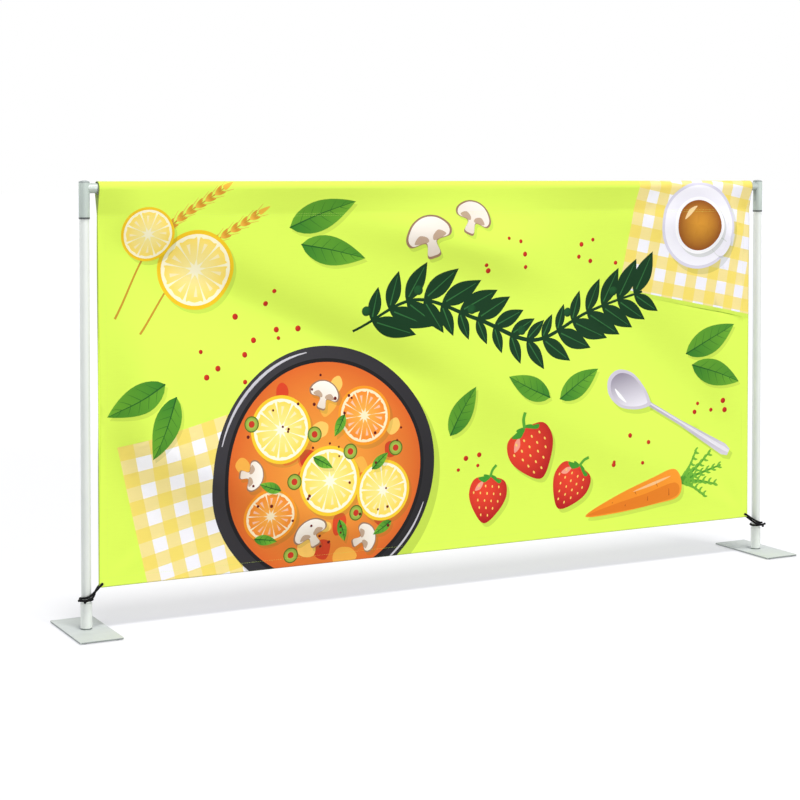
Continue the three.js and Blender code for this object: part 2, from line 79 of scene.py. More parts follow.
light = {
    "fill": 0.37,  # what a white wall gets from the world alone
    "fillColour": (0.95, 0.96, 1.1),
    "lampColour": (1.0, 0.99, 0.97),
    # Far soft lamps: where they shine from, the width of their disc in degrees, and how
    # much light a surface that faces them gets
    "key": {"from": (0.335, -0.919, 0.208), "disc": 14, "level": 0.44},
    "top": {"from": (0.0, -0.268, 1.0), "disc": 14, "level": 0.62},
    "back": {"from": (-0.8, 0.6, 0.1), "disc": 24, "level": 0.42},
}

floor = {
    "size": 200.0,
    "albedo": 0.51,
    "glow": 0.495,  # only for the camera and reflections, so that the background is white
    "glowColour": (0.98, 0.985, 1.02),
}


def linear(colour):  # from a written sRGB colour
    parts = [int(colour[place:place + 2], 16) / 255 for place in (1, 3, 5)]
    return tuple(part / 12.92 if part <= 0.04045 else ((part + 0.055) / 1.055) ** 2.4 for part in parts)


def addNode(owner, kind, inputs):  # each input is a setting, a value, or the node or socket that feeds it
    node = owner.node_tree.nodes.new("ShaderNode" + kind)
    for name, given in inputs.items():
        if isinstance(given, bpy.types.Node):
            given = given.outputs[0]
        if isinstance(given, bpy.types.NodeSocket):
            owner.node_tree.links.new(given, node.inputs[name])
        elif isinstance(name, str) and hasattr(node, name):
            setattr(node, name, given)
        else:
            node.inputs[name].default_value = given
    return node


def seenRays(owner):  # 1 for rays that look at the background, straight or in a reflection
    path = addNode(owner, "LightPath", {}).outputs
    mirrored = addNode(owner, "Math", {
        "operation": "MAXIMUM", 0: path["Is Glossy Ray"], 1: path["Is Transmission Ray"]})
    return addNode(owner, "Math", {"operation": "MAXIMUM", 0: path["Is Camera Ray"], 1: mirrored})


def newMaterial(name):
    material = bpy.data.materials.new(name)
    material.use_nodes = True
    material.node_tree.nodes.clear()
    return material


def addCamera():
    bpy.ops.object.camera_add(location=view["place"], rotation=(
        math.radians(90 - view["downDegrees"]), 0, -math.radians(view["turnDegrees"])))
    made = bpy.context.object
    made.name = "photoCamera"
    made.data.sensor_width = view["sensorMm"]
    made.data.lens = view["lensMm"]
    made.data.shift_y = view["shift"]
    bpy.context.scene.camera = made


def addLamp(name):
    lamp = light[name]
    towards = -Vector(lamp["from"])
    bpy.ops.object.light_add(type="SUN", rotation=towards.to_track_quat("-Z", "Y").to_euler())
    made = bpy.context.object
    made.name = name + "Lamp"
    made.data.angle = math.radians(lamp["disc"])
    made.data.energy = math.pi * lamp["level"]
    made.data.color = light["lampColour"]


def addWorld():
    world = bpy.data.worlds.new("studio")
    bpy.context.scene.world = world
    world.use_nodes = True
    world.node_tree.nodes.clear()
    fill = addNode(world, "Background", {"Color": (*light["fillColour"], 1), "Strength": light["fill"]})
    white = addNode(world, "Background", {"Color": (1, 1, 1, 1), "Strength": 1.0})
    chosen = addNode(world, "MixShader", {0: seenRays(world), 1: fill, 2: white})
    addNode(world, "OutputWorld", {"Surface": chosen})


def addFloor():
    bpy.ops.mesh.primitive_plane_add(size=floor["size"])
    made = bpy.context.object
    made.name = "paleFloor"
    paint = newMaterial("paleFloorPaint")
    matt = addNode(paint, "BsdfDiffuse", {"Color": (floor["albedo"], floor["albedo"], floor["albedo"], 1)})
    strength = addNode(paint, "Math", {"operation": "MULTIPLY", 0: seenRays(paint), 1: floor["glow"]})
    glow = addNode(paint, "Emission", {"Color": (*floor["glowColour"], 1), "Strength": strength})
    addNode(paint, "OutputMaterial", {"Surface": addNode(paint, "AddShader", {0: matt, 1: glow})})
    made.data.materials.append(paint)


bpy.context.scene.view_settings.view_transform = "Standard"
addCamera()
for lampName in ("key", "top", "back"):
    addLamp(lampName)
addWorld()
addFloor()
print("camera, lamps and floor are in place")


# Finishes, each named for the real material and how its surface was made, and those that carry painted shade
# named for it

lime = "#DFFC5B"  # the banner's ground


def startFinish(name, colour, settings):
    material = newMaterial(name)
    shader = addNode(material, "BsdfPrincipled", {"Base Color": (*linear(colour), 1), **settings})
    addNode(material, "OutputMaterial", {"Surface": shader})
    return material


def speckle(material, scale, detail, roughness=0.5):  # on Object coordinates, the scale in grains per metre
    places = addNode(material, "TexCoord", {}).outputs["Object"]
    grains = addNode(material, "Mapping", {"Scale": scale, "Vector": places})
    return addNode(material, "TexNoise", {
        "Scale": 1.0, "Detail": detail, "Roughness": roughness, "Vector": grains})


def waves(material, value, length):
    angle = addNode(material, "Math", {"operation": "MULTIPLY", 0: value, 1: math.tau / length})
    return addNode(material, "Math", {"operation": "SINE", 0: angle})


def feed(material, name, output):  # an input of the finish's shader
    shader = material.node_tree.nodes["Principled BSDF"]
    material.node_tree.links.new(output, shader.inputs[name])


def varyColour(material, factor, darker, lighter):
    mixed = addNode(material, "Mix", {
        "data_type": "RGBA", 0: factor, 6: (*linear(darker), 1), 7: (*linear(lighter), 1)})
    feed(material, "Base Color", mixed.outputs[2])


def varyRoughness(material, factor, low, high):
    ranged = addNode(material, "MapRange", {"Value": factor, "To Min": low, "To Max": high})
    feed(material, "Roughness", ranged.outputs[0])


def addRelief(material, height, depth, strength):
    bump = addNode(material, "Bump", {"Height": height, "Distance": depth, "Strength": strength})
    feed(material, "Normal", bump.outputs[0])


def drawnMetal(name, darker, lighter, along, roughness, metallic, rim=0.55):
    # Extruded tube, etched and anodised to a satin grey that scatters half of the light and
    # darkens towards its outline: faint drawing lines about 1 mm apart run along it
    material = startFinish(name, lighter, {
        "Metallic": metallic, "Roughness": roughness, "Specular Tint": (rim, rim, rim, 1)})
    lines = speckle(material, {"X": (2, 900, 900), "Z": (900, 900, 2)}[along], 3)
    varyColour(material, speckle(material, (40, 40, 14), 2), darker, lighter)
    varyRoughness(material, lines, roughness - 0.08, roughness + 0.08)
    addRelief(material, lines, 0.00001, 0.5)
    return material


def powderCoat(name, darker, lighter):
    # Baked polyester powder with metal flake: orange peel of about 1.5 mm, soft gloss
    material = startFinish(name, lighter, {"Metallic": 0.15, "Roughness": 0.55, "Specular IOR Level": 0.35})
    scuffs = speckle(material, (24, 60, 40), 5, 0.6)
    varyColour(material, scuffs, darker, lighter)
    varyRoughness(material, scuffs, 0.48, 0.64)
    addRelief(material, speckle(material, (650, 650, 650), 1), 0.00004, 0.6)
    return material


def cutSteelAndShade(name, darker, lighter):
    # Laser-cut edge under the coat: dark oxide with upright striations about 0.8 mm apart, its colour
    # deepened as painted shade on the plate's upright edges
    material = startFinish(name, lighter, {"Metallic": 0.7, "Roughness": 0.45})
    stripes = speckle(material, (1200, 1200, 60), 2)
    varyColour(material, stripes, darker, lighter)
    addRelief(material, stripes, 0.00003, 0.6)
    return material


def mouldedPlastic(name, darker, lighter, roughness, grain):
    # Injection moulded: a fine spark-eroded grain, a little gloss and slight flow marks
    material = startFinish(name, lighter, {"Roughness": roughness})
    spark = speckle(material, (grain, grain, grain), 3)
    varyColour(material, speckle(material, (60, 60, 160), 2), darker, lighter)
    varyRoughness(material, spark, roughness - 0.08, roughness + 0.08)
    addRelief(material, spark, 0.00003, 0.5)
    return material


def platedSteel(name, darker, lighter, roughness, metallic=1.0):
    # Pressed or cold-headed metal, plated or enamelled: even, with cloudy patches of 2 to 3 mm
    material = startFinish(name, lighter, {"Metallic": metallic, "Roughness": roughness})
    patches = speckle(material, (420, 420, 420), 4)
    varyColour(material, patches, darker, lighter)
    varyRoughness(material, patches, roughness - 0.07, roughness + 0.1)
    addRelief(material, patches, 0.00001, 0.4)
    return material


def braidedCord(name, darker, lighter):
    # Elastic cord in a braided polyester sleeve: diamonds about 1.6 mm long, matt
    material = startFinish(name, lighter, {"Roughness": 0.85, "Specular IOR Level": 0.2})
    uv = addNode(material, "UVMap", {"uv_map": "alongCord"})
    turn, reach = addNode(material, "SeparateXYZ", {0: uv}).outputs[:2]
    strands = {0: 8.0, 1: -8.0}  # so many turn one way and so many the other
    for place, count in strands.items():
        slanted = addNode(material, "Math", {"operation": "MULTIPLY_ADD", 0: turn, 1: count, 2: reach})
        strands[place] = waves(material, slanted, 1)
    braid = addNode(material, "Math", {"operation": "MAXIMUM", **strands})
    level = addNode(material, "MapRange", {"Value": braid, "From Min": -1.0, "From Max": 1.0})
    varyColour(material, level, darker, lighter)
    addRelief(material, level, 0.0002, 0.8)
    return material


def wovenPrint(name):
    # Woven polyester, dye printed on its face: the ink is in the colour attribute, and the
    # plain weave is drawn at 1.1 mm, coarser than the real 0.4 mm so that it can show
    material = startFinish(name, lime, {
        "Roughness": 0.8, "Specular IOR Level": 0.25, "Sheen Weight": 0.08, "Sheen Roughness": 0.4})
    uv = addNode(material, "UVMap", {"uv_map": "onCloth"})
    across, along = addNode(material, "SeparateXYZ", {0: uv}).outputs[:2]
    weave = addNode(material, "Math", {
        "operation": "MULTIPLY", 0: waves(material, across, 1.1 * mm), 1: waves(material, along, 1.1 * mm)})
    slubs = addNode(material, "TexNoise", {
        "Scale": 1.0, "Detail": 4.0, "Roughness": 0.6,
        "Vector": addNode(material, "Mapping", {"Scale": (30, 400, 1), "Vector": uv})})
    shade = addNode(material, "MapRange", {"Value": slubs, "To Min": 0.97, "To Max": 1.03})
    ink = addNode(material, "VertexColor", {"layer_name": "print"})
    tinted = addNode(material, "VectorMath", {"operation": "SCALE", 0: ink, "Scale": shade})
    feed(material, "Base Color", tinted.outputs[0])
    addRelief(material, weave, 0.00006, 0.5)
    return material


def spunThread(name, darker, lighter):
    # Bonded polyester sewing thread, two-ply: a slight twist that shows as fine grains
    material = startFinish(name, lighter, {"Roughness": 0.55, "Sheen Weight": 0.1})
    twist = speckle(material, (1800, 1800, 1800), 1)
    varyColour(material, twist, darker, lighter)
    addRelief(material, twist, 0.00005, 0.6)
    return material


finishes = {
    "postAluminium": drawnMetal("satinAnodisedAluminiumPost", "#DDE2DD", "#E7EBE6", "Z", 0.75, 0.3),
    "stubAluminium": drawnMetal("satinAnodisedAluminiumStub", "#B4BEB7", "#C6CFC8", "X", 0.5, 0.4),
    "headAluminium": drawnMetal("greyAnodisedAluminiumHead", "#BBC6BF", "#CDD8D0", "Z", 0.75, 0.3),
    # the dark band at the socket's foot is painted shade where the socket meets the plate
    "socketFootShade": drawnMetal("paintedShadeSocketFoot", "#6E7673", "#868E8A", "Z", 0.5, 0.5),
    "barAluminium": drawnMetal("millFinishAluminiumBar", "#BFC4C5", "#D3D7D8", "X", 0.36, 0.9, 1.0),
    "plateSteel": powderCoat("silverPowderCoatedSteel", "#C2C8C4", "#D3D9D5"),
    "plateEdgeOxideAndShade": cutSteelAndShade("laserCutSteelEdgeAndShade", "#737977", "#8A908E"),
    "ringPlastic": mouldedPlastic("darkGreyNylonRing", "#45494A", "#555A5A", 0.45, 2600),
    "capPlastic": mouldedPlastic("greyAbsCap", "#98A09D", "#A8B0AD", 0.4, 2200),
    "plugPlastic": mouldedPlastic("blackPolypropylenePlug", "#2C2E30", "#3E4143", 0.5, 2200),
    "footRubber": mouldedPlastic("blackMouldedRubber", "#171718", "#262627", 0.82, 1500),
    "screwSteel": platedSteel("zincPlatedSteel", "#9BA0A3", "#B9BDC0", 0.32),
    "springSteel": platedSteel("blueTemperedSpringSteel", "#7F858B", "#9AA0A5", 0.28),
    "eyeletMetal": platedSteel("limeEnamelledBrassEyelet", "#C9E04E", "#DDF75C", 0.4, 0.0),
    "elastic": braidedCord("blackBraidedElastic", "#020202", "#0E0E10"),
    "printedCloth": wovenPrint("printedWovenPolyester"),
    "thread": spunThread("limePolyesterThread", "#CDE558", "#DAF462"),
}
print(f"{len(finishes)} finishes made")


# Modelling steps that several pieces share

meshing = {
    "weld": 0.000001,  # points as near as this become one
    "level": 0.00001,  # points as near as this to a face's height are in it
    "shadeDegrees": 32,
    "bevelDegrees": 30,
}


def makeActive(piece=None):  # the one piece that is selected, or none
    if bpy.context.object and bpy.context.object.mode != "OBJECT":
        bpy.ops.object.mode_set(mode="OBJECT")
    bpy.ops.object.select_all(action="DESELECT")
    if piece:
        piece.select_set(True)
        bpy.context.view_layer.objects.active = piece


def selectEdges(piece, test):  # in edit mode
    bpy.ops.mesh.select_mode(type="EDGE")
    bpy.ops.mesh.select_all(action="DESELECT")
    for edge in bmesh.from_edit_mesh(piece.data).edges:
        if test(edge):
            edge.select_set(True)
    bmesh.update_edit_mesh(piece.data)


def turnPiece(name, centre, outline, along="Z", around=96):
    # Draws a ring out through (radius, height) pairs. An outline that ends where it starts
    # is a hollow piece's. Any other starts in a flat face and ends in one, or in a point
    axis, turn = axes[along]
    radius, height = outline[0]
    hollow = outline[0] == outline[-1]
    makeActive()
    bpy.ops.mesh.primitive_circle_add(vertices=around, radius=radius, rotation=turn,
                                      location=centre + axis * height,
                                      fill_type="NOTHING" if hollow else "NGON")
    piece = bpy.context.object
    piece.name = name
    bpy.ops.object.transform_apply(location=True, rotation=True, scale=True)
    bpy.ops.object.mode_set(mode="EDIT")
    bpy.ops.mesh.select_all(action="SELECT")
    for nextRadius, nextHeight in outline[1:]:
        bpy.ops.mesh.extrude_region_move(TRANSFORM_OT_translate={"value": axis * (nextHeight - height)})
        grow = nextRadius / radius
        bpy.ops.transform.resize(value=[1 if part else grow for part in axis],
                                 center_override=centre + axis * nextHeight)
        if nextRadius == 0:
            bpy.ops.mesh.merge(type="CENTER")
        radius, height = nextRadius, nextHeight
    bpy.ops.mesh.select_all(action="SELECT")
    bpy.ops.mesh.remove_doubles(threshold=meshing["weld"])
    bpy.ops.mesh.normals_make_consistent(inside=False)
    bpy.ops.object.mode_set(mode="OBJECT")
    return piece


def applyModifier(piece, name, kind, **settings):
    makeActive(piece)
    modifier = piece.modifiers.new(name, kind)
    for setting, value in settings.items():
        setattr(modifier, setting, value)
    bpy.ops.object.modifier_apply(modifier=modifier.name)


def softenEdges(piece, width, segments=3):
    applyModifier(piece, "softEdges", "BEVEL", width=width, segments=segments, limit_method="ANGLE",
                  angle_limit=math.radians(meshing["bevelDegrees"]), use_clamp_overlap=True)


def cutWith(piece, cutter):
    applyModifier(piece, "cut", "BOOLEAN", operation="DIFFERENCE", solver="EXACT", object=cutter)
    bpy.data.objects.remove(cutter, do_unlink=True)


def linkPiece(name, mesh):
    piece = bpy.data.objects.new(name, mesh)
    bpy.context.scene.collection.objects.link(piece)
    return piece


def dress(piece, finish, slot, body, *nodes):
    piece.data.materials.clear()
    piece.data.materials.append(finishes[finish])
    makeActive(piece)
    bpy.ops.object.shade_smooth_by_angle(angle=math.radians(meshing["shadeDegrees"]))
    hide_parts(*nodes)
    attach(piece, body)
    return piece


def dressFaces(piece, finish, test):  # a second finish on some of its faces
    piece.data.materials.append(finishes[finish])
    for face in piece.data.polygons:
        if test(face):
            face.material_index = 1


def middleOf(node):
    low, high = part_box(node)
    return (low + high) / 2


def sizeOf(node):
    low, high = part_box(node)
    return high - low


def uprightOf(node):  # the axis, lower end, upper end and radius of an upright round piece
    middle, size = middleOf(node), sizeOf(node)
    return Vector((middle.x, middle.y, 0)), middle.z - size.z / 2, middle.z + size.z / 2, size.x / 2


def wallOutline(inner, outer, low, high):
    return [(inner, low), (outer, low), (outer, high), (inner, high), (inner, low)]


# Base: plate, feet, screw, socket plug and socket

plate = {
    "cornerRadius": 0.003,
    "cornerSteps": 8,
    "edgeRound": 0.0005,
    "screwHole": 0.0043,
    "countersink": 0.0083,
    "countersinkDepth": 0.0033,
}


def addPlate(side):
    node = "base_plate_" + side
    axis, bottom, top, _ = uprightOf(node)
    makeActive()
    bpy.ops.mesh.primitive_cube_add(size=1, location=middleOf(node))
    piece = bpy.context.object
    piece.name = "plate_" + side
    piece.scale = sizeOf(node)
    bpy.ops.object.transform_apply(location=True, rotation=True, scale=True)
    bpy.ops.object.mode_set(mode="EDIT")
    selectEdges(piece, lambda edge: abs((edge.verts[0].co - edge.verts[1].co).z) > (top - bottom) / 2)
    bpy.ops.mesh.bevel(offset=plate["cornerRadius"], segments=plate["cornerSteps"], affect="EDGES")
    selectEdges(piece, lambda edge: all(
        min(top - vert.co.z, vert.co.z - bottom) < meshing["level"] for vert in edge.verts))
    bpy.ops.mesh.bevel(offset=plate["edgeRound"], segments=3, affect="EDGES")
    bpy.ops.object.mode_set(mode="OBJECT")
    cutWith(piece, turnPiece("screwHoleCutter", axis, [
        (plate["countersink"], 0),
        (plate["countersink"], bottom),
        (plate["screwHole"], bottom + plate["countersinkDepth"]),
        (plate["screwHole"], top + bottom),
    ], around=64))
    dress(piece, "plateSteel", "plate_steel", "plate_" + side, node)
    # the upright outer faces take the dark edge finish: cut-edge oxide and painted shade together
    dressFaces(piece, "plateEdgeOxideAndShade", lambda face: abs(face.normal.z) < 0.5 and Vector(
        (face.center.x - axis.x, face.center.y - axis.y, 0)).dot(face.normal) > 0)


foot = {"rimRound": 0.0001, "treadRings": 3, "treadDepth": 0.0002}


def addFoot(side, number):
    node = f"base_foot_{side}_{number}"
    axis, low, high, radius = uprightOf(node)
    outline = [(radius, high), (radius, low)]
    ringWidth = radius / (2 * foot["treadRings"] + 1)
    levels = (low, low + foot["treadDepth"])
    for step in range(1, 2 * foot["treadRings"] + 1):
        outline += [(radius - step * ringWidth, level) for level in (levels if step % 2 else levels[::-1])]
    piece = turnPiece(f"foot_{side}_{number}", axis, outline, around=64)
    softenEdges(piece, foot["rimRound"], 2)
    dress(piece, "footRubber", "rubber", "plate_" + side, node)


baseScrew = {
    "head": 0.008,
    "headEdge": 0.0003,
    "headHeight": 0.003,
    "shank": 0.004,
    "pitch": 0.00125,
    "rootShare": 0.86,  # of the shank's radius, between two threads
    "tipShare": 0.78,
    "keyRadius": 0.0026,
    "keyDepth": 0.002,
}


def addBaseScrew(side):
    node = "base_screw_" + side
    axis, low, high, _ = uprightOf(node)
    shank, pitch = baseScrew["shank"], baseScrew["pitch"]
    root = shank * baseScrew["rootShare"]
    outline = [(baseScrew["head"], low), (baseScrew["head"], low + baseScrew["headEdge"]),
               (shank, low + baseScrew["headHeight"])]
    height = low + baseScrew["headHeight"] + pitch
    while height < high - pitch:  # thread, as rings
        outline += [(shank, height), (root, height + pitch / 2)]
        height += pitch
    outline += [(root, high - pitch / 2), (shank * baseScrew["tipShare"], high)]
    piece = turnPiece("plate_screw_" + side, axis, outline, around=48)
    cutWith(piece, turnPiece("keyCutter", axis, [
        (baseScrew["keyRadius"], low - baseScrew["keyDepth"]),
        (baseScrew["keyRadius"], low + baseScrew["keyDepth"]),
    ], around=6))
    dress(piece, "screwSteel", "screw_steel", "sockets", node)


socket = {"wall": 0.0015, "plugHole": 0.0043, "rimRound": 0.0004, "foot": 0.0026, "footRecess": 0.0003}


def addSocket(side):
    node, plug = "base_socket_" + side, "socket_plug_" + side
    axis, low, high, outer = uprightOf(node)
    inner, seat, footReach = outer - socket["wall"], low + socket["foot"], outer - socket["footRecess"]
    piece = turnPiece("socket_tube_" + side, axis, [
        (inner, low), (footReach, low), (footReach, seat), (outer, seat),
        (outer, high), (inner, high), (inner, low)])
    softenEdges(piece, socket["rimRound"] / 2)
    dress(piece, "postAluminium", "pole_metal", "sockets", node)
    # its lowest band takes the dark finish: painted shade where the socket meets the plate
    dressFaces(piece, "socketFootShade", lambda face: face.center.z < seat + socket["footRecess"])
    axis, low, high, outer = uprightOf(plug)
    piece = turnPiece("socket_block_" + side, axis, wallOutline(socket["plugHole"], outer, low, high))
    softenEdges(piece, socket["rimRound"])
    dress(piece, "screwSteel", "screw_steel", "sockets", plug)


# Post: pole, end plug, and the head with its ring and cap

post = {
    "poleWall": 0.0015,
    "sleeveWall": 0.0009,
    "plugFlange": 0.003,
    "plugWall": 0.002,
    "plugFit": 0.0003,
    "rimRound": 0.0003,
}


def addTube(name, node, wall, finish, slot):
    axis, low, high, outer = uprightOf(node)
    piece = turnPiece(name, axis, wallOutline(outer - wall, outer, low, high))
    softenEdges(piece, post["rimRound"])
    dress(piece, finish, slot, "frame", node)


def addPole(side):
    addTube("pole_tube_" + side, "pole_" + side, post["poleWall"], "postAluminium", "pole_metal")
    node = "pole_end_plug_" + side
    axis, low, high, outer = uprightOf(node)
    seat = low + post["plugFlange"]
    insert = outer - post["poleWall"] - post["plugFit"]
    piece = turnPiece("pole_plug_" + side, axis, [
        (outer, low), (outer, seat), (insert, seat), (insert, high),
        (insert - post["plugWall"], high), (insert - post["plugWall"], seat)])
    softenEdges(piece, post["rimRound"])
    dress(piece, "plugPlastic", "plug_plastic", "frame", node)


cap = {"shankRadius": 0.0092, "rim": 0.0016, "dome": 0.0034, "domeSteps": 16, "rimRound": 0.0003}


def addHead(side):
    addTube("head_tube_" + side, "head_sleeve_" + side, post["sleeveWall"], "headAluminium", "head_metal")
    ringWall = (sizeOf("head_ring_" + side).x - sizeOf("head_sleeve_" + side).x) / 2 + post["sleeveWall"]
    addTube("head_band_" + side, "head_ring_" + side, ringWall, "ringPlastic", "ring_plastic")
    node = "head_cap_" + side
    axis, low, high, outer = uprightOf(node)
    seat = high - cap["dome"] - cap["rim"]
    shank = cap["shankRadius"]
    outline = [(shank, low), (shank, seat), (outer, seat), (outer, seat + cap["rim"])]
    for step in range(1, cap["domeSteps"] + 1):
        angle = step / cap["domeSteps"] * math.pi / 2
        reach = 0 if step == cap["domeSteps"] else outer * math.cos(angle)
        outline.append((reach, high - cap["dome"] + cap["dome"] * math.sin(angle)))
    piece = turnPiece("head_dome_" + side, axis, outline)
    softenEdges(piece, cap["rimRound"])
    dress(piece, "capPlastic", "cap_plastic", "frame", node)


# Spigot, bush and crossbar, all along X

stub = {
    "radius": 0.011,
    "bore": 0.0075,
    "endWall": 0.007,
    "lead": 0.0015,
    "screwHole": 0.0033,
    "rimRound": 0.0003,
}


def addStub(side):
    node = "spigot_" + side
    inwards = -sides[side]
    axis = uprightOf("pole_" + side)[0]
    low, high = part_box(node)
    reach = abs((high.x if inwards > 0 else low.x) - axis.x)
    saddle = sizeOf("head_sleeve_" + side).x / 2
    seat = saddle + stub["endWall"]
    outline = [
        (stub["screwHole"], 0), (stub["radius"], 0), (stub["radius"], reach - stub["lead"]),
        (stub["radius"] - stub["lead"], reach), (stub["bore"], reach), (stub["bore"], seat),
        (stub["screwHole"], seat), (stub["screwHole"], 0),
    ]
    piece = turnPiece("stub_" + side, axis + Vector((0, 0, (low.z + high.z) / 2)),
                      [(radius, inwards * place) for radius, place in outline], along="X")
    cutWith(piece, turnPiece("saddleCutter", axis, [
        (saddle, low.z - stub["radius"]), (saddle, high.z + stub["radius"])]))
    softenEdges(piece, stub["rimRound"], 2)
    dress(piece, "stubAluminium", "pole_metal", "frame", node)


bar = {
    "wall": 0.0015,
    "rimRound": 0.0003,
    "left": ("joiner_rivet", 0.0024),  # what goes through each half, and its hole's radius
    "right": ("snap_button", 0.0044),
    "bushFlange": 0.002,
    "bushFit": 0.0003,
    "bushRound": 0.0004,
}


def addBush(side):
    node = "bar_bush_" + side
    middle, outer = middleOf(node), sizeOf(node).z / 2
    low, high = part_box(node)
    hole = stub["radius"] + bar["bushFit"]
    insert = outer - bar["wall"] - bar["bushFit"]
    flangeEnd, insertEnd = (high.x, low.x) if sides[side] > 0 else (low.x, high.x)
    seat = flangeEnd - sides[side] * bar["bushFlange"]
    piece = turnPiece("bush_" + side, Vector((0, middle.y, middle.z)), [
        (hole, flangeEnd), (outer, flangeEnd), (outer, seat), (insert, seat),
        (insert, insertEnd), (hole, insertEnd), (hole, flangeEnd),
    ], along="X")
    softenEdges(piece, bar["bushRound"])
    dress(piece, "plugPlastic", "plug_plastic", "frame", node)


def addBar(side):
    node = "crossbar_" + side
    middle, outer = middleOf(node), sizeOf(node).z / 2
    low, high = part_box(node)
    piece = turnPiece("bar_tube_" + side, Vector((0, middle.y, middle.z)),
                      wallOutline(outer - bar["wall"], outer, low.x, high.x), along="X")
    through, holeRadius = bar[side]
    cutWith(piece, turnPiece("barHoleCutter", uprightOf(through)[0], [
        (holeRadius, middle.z - outer - sizeOf(through).y), (holeRadius, middle.z)], around=48))
    softenEdges(piece, bar["rimRound"], 2)
    dress(piece, "barAluminium", "bar_metal", "frame", node)


def addSpring():  # a copy of the solid one's mesh; the real spring closes up as the button is pressed
    spring = linkPiece("spring_leaves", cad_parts["snap_spring"].data.copy())
    makeActive(spring)
    bpy.ops.object.mode_set(mode="EDIT")
    bpy.ops.mesh.select_all(action="SELECT")
    bpy.ops.mesh.remove_doubles(threshold=meshing["weld"])
    bpy.ops.object.mode_set(mode="OBJECT")
    dress(spring, "springSteel", "spring_steel", "frame", "snap_spring")
    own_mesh(spring)


for side in sides:
    addPlate(side)
    for number in range(1, 5):
        addFoot(side, number)
    for addPiece in (addBaseScrew, addSocket, addPole, addHead, addStub, addBush, addBar):
        addPiece(side)
addSpring()
for node in ("spigot_screw_left", "spigot_screw_right", "bar_joiner", "joiner_rivet", "snap_button"):
    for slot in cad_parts[node].material_slots:
        slot.material = finishes["barAluminium" if node == "bar_joiner" else "screwSteel"]
print("posts, plates and crossbar are modelled")


# Ties: one elastic cord at each lower corner, hitched round the pole and through the eyelet

tie = {
    "radius": 0.0026,
    "around": 14,
    "stepsPerPoint": 9,
    "braidPitch": 0.0032,
    "sealedEnd": 0.0032,  # the bead's radius
    "sealedLength": 0.004,
    "endShare": 0.72,  # of the radius, at the very end
    "tipShare": 0.3,  # of that, how far the end's middle stands out
    "drop": 0.0307,  # the wrap lies this far under the eyelet
}

# Millimetres from the post's axis at the height of the wrap: to the banner, back and up
tieRoute = [
    (-23, -12.2, 2.2), (-18, -13.6, 1.5), (-12, -14.3, 0.8), (-5.5, -14.2, 0.2),
    (0, -13.9, 0), (5.3, -12.8, -0.1), (9.9, -9.7, -0.3), (12.9, -5.2, -0.5),
    (13.9, 0, -0.5), (12.8, 5.3, -0.4), (9.8, 9.8, -0.2), (5.3, 12.8, 0.1),
    (0, 13.9, 0.5), (-5.3, 12.8, 1), (-9.8, 9.8, 1.6), (-12.9, 5.3, 2.4),
    (-14.2, 0, 3.4), (-14.2, -5.5, 4.6), (-12.2, -11, 5.8), (-8, -15, 6.6),
    (-2.5, -16.3, 7.4), (4, -15.4, 9.4), (13, -12.2, 14.6), (22, -8.6, 20.6),
    (30, -5.6, 26.6), (35, -4.2, 30), (37.2, -1.6, 31), (37.2, 1.6, 31),
    (35.2, 4.3, 29.6), (31, 5.3, 26), (24.8, 2.6, 19.9), (18.8, -3.8, 13.6),
    (14.8, -10, 9.4), (10.2, -15, 6.2), (5, -18.6, 4.2), (-1, -20.3, 2.8),
    (-6.5, -20.2, 0.2), (-11, -19, -3.8),
]


def reachesOf(line):  # how far along the line each of its points is
    reaches = [0.0]
    for before, after in zip(line, line[1:]):
        reaches.append(reaches[-1] + math.dist(before, after))
    return reaches


def smoothLine(points, steps):  # a centripetal Catmull-Rom curve through the points
    ends = [points[0] * 2 - points[1], *points, points[-1] * 2 - points[-2]]
    line = []
    for first, start, end, last in zip(ends, ends[1:], ends[2:], ends[3:]):
        times = [0.0]
        for before, after in ((first, start), (start, end), (end, last)):
            times.append(times[-1] + (after - before).length ** 0.5)
        for step in range(steps):
            time = times[1] + (times[2] - times[1]) * step / steps

            def between(a, b, low, high):
                share = (time - times[low]) / (times[high] - times[low])
                return a * (1 - share) + b * share

            middle = between(start, end, 1, 2)
            lower = between(between(first, start, 0, 1), middle, 0, 2)
            upper = between(middle, between(end, last, 2, 3), 1, 3)
            line.append(between(lower, upper, 1, 2))
    return [*line, points[-1]]


def sweptTube(name, line, radii, around, pitch):  # closed at both ends, with a UV map along it
    lengths = reachesOf(line)
    form = bmesh.new()
    uv = form.loops.layers.uv.new("alongCord")
    across = Vector((0, 0, 1))
    rings = []
    for index, place in enumerate(line):
        along = (line[min(index + 1, len(line) - 1)] - line[max(index - 1, 0)]).normalized()
        across = (across - along * across.dot(along)).normalized()
        other = along.cross(across)
        ways = [across * math.cos(angle) + other * math.sin(angle)
                for angle in (math.tau * step / around for step in range(around))]
        rings.append([form.verts.new(place + radii[index] * way) for way in ways])
    for index in range(len(line) - 1):
        for step in range(around):
            after = (step + 1) % around
            face = form.faces.new((rings[index][step], rings[index][after],
                                   rings[index + 1][after], rings[index + 1][step]))
            marks = ((step, index), (step + 1, index), (step + 1, index + 1), (step, index + 1))
            for loop, (turn, place) in zip(face.loops, marks):
                loop[uv].uv = (turn / around, lengths[place] / pitch)
    for ring, outwards in ((rings[0], line[0] - line[1]), (rings[-1], line[-1] - line[-2])):
        middle = sum((vert.co for vert in ring), Vector()) / around
        tip = form.verts.new(middle + outwards.normalized() * radii[0] * tie["tipShare"])
        for step in range(around):
            form.faces.new((ring[step], tip, ring[(step + 1) % around]))
    bmesh.ops.recalc_face_normals(form, faces=form.faces)
    mesh = bpy.data.meshes.new(name)
    form.to_mesh(mesh)
    form.free()
    return linkPiece(name, mesh)


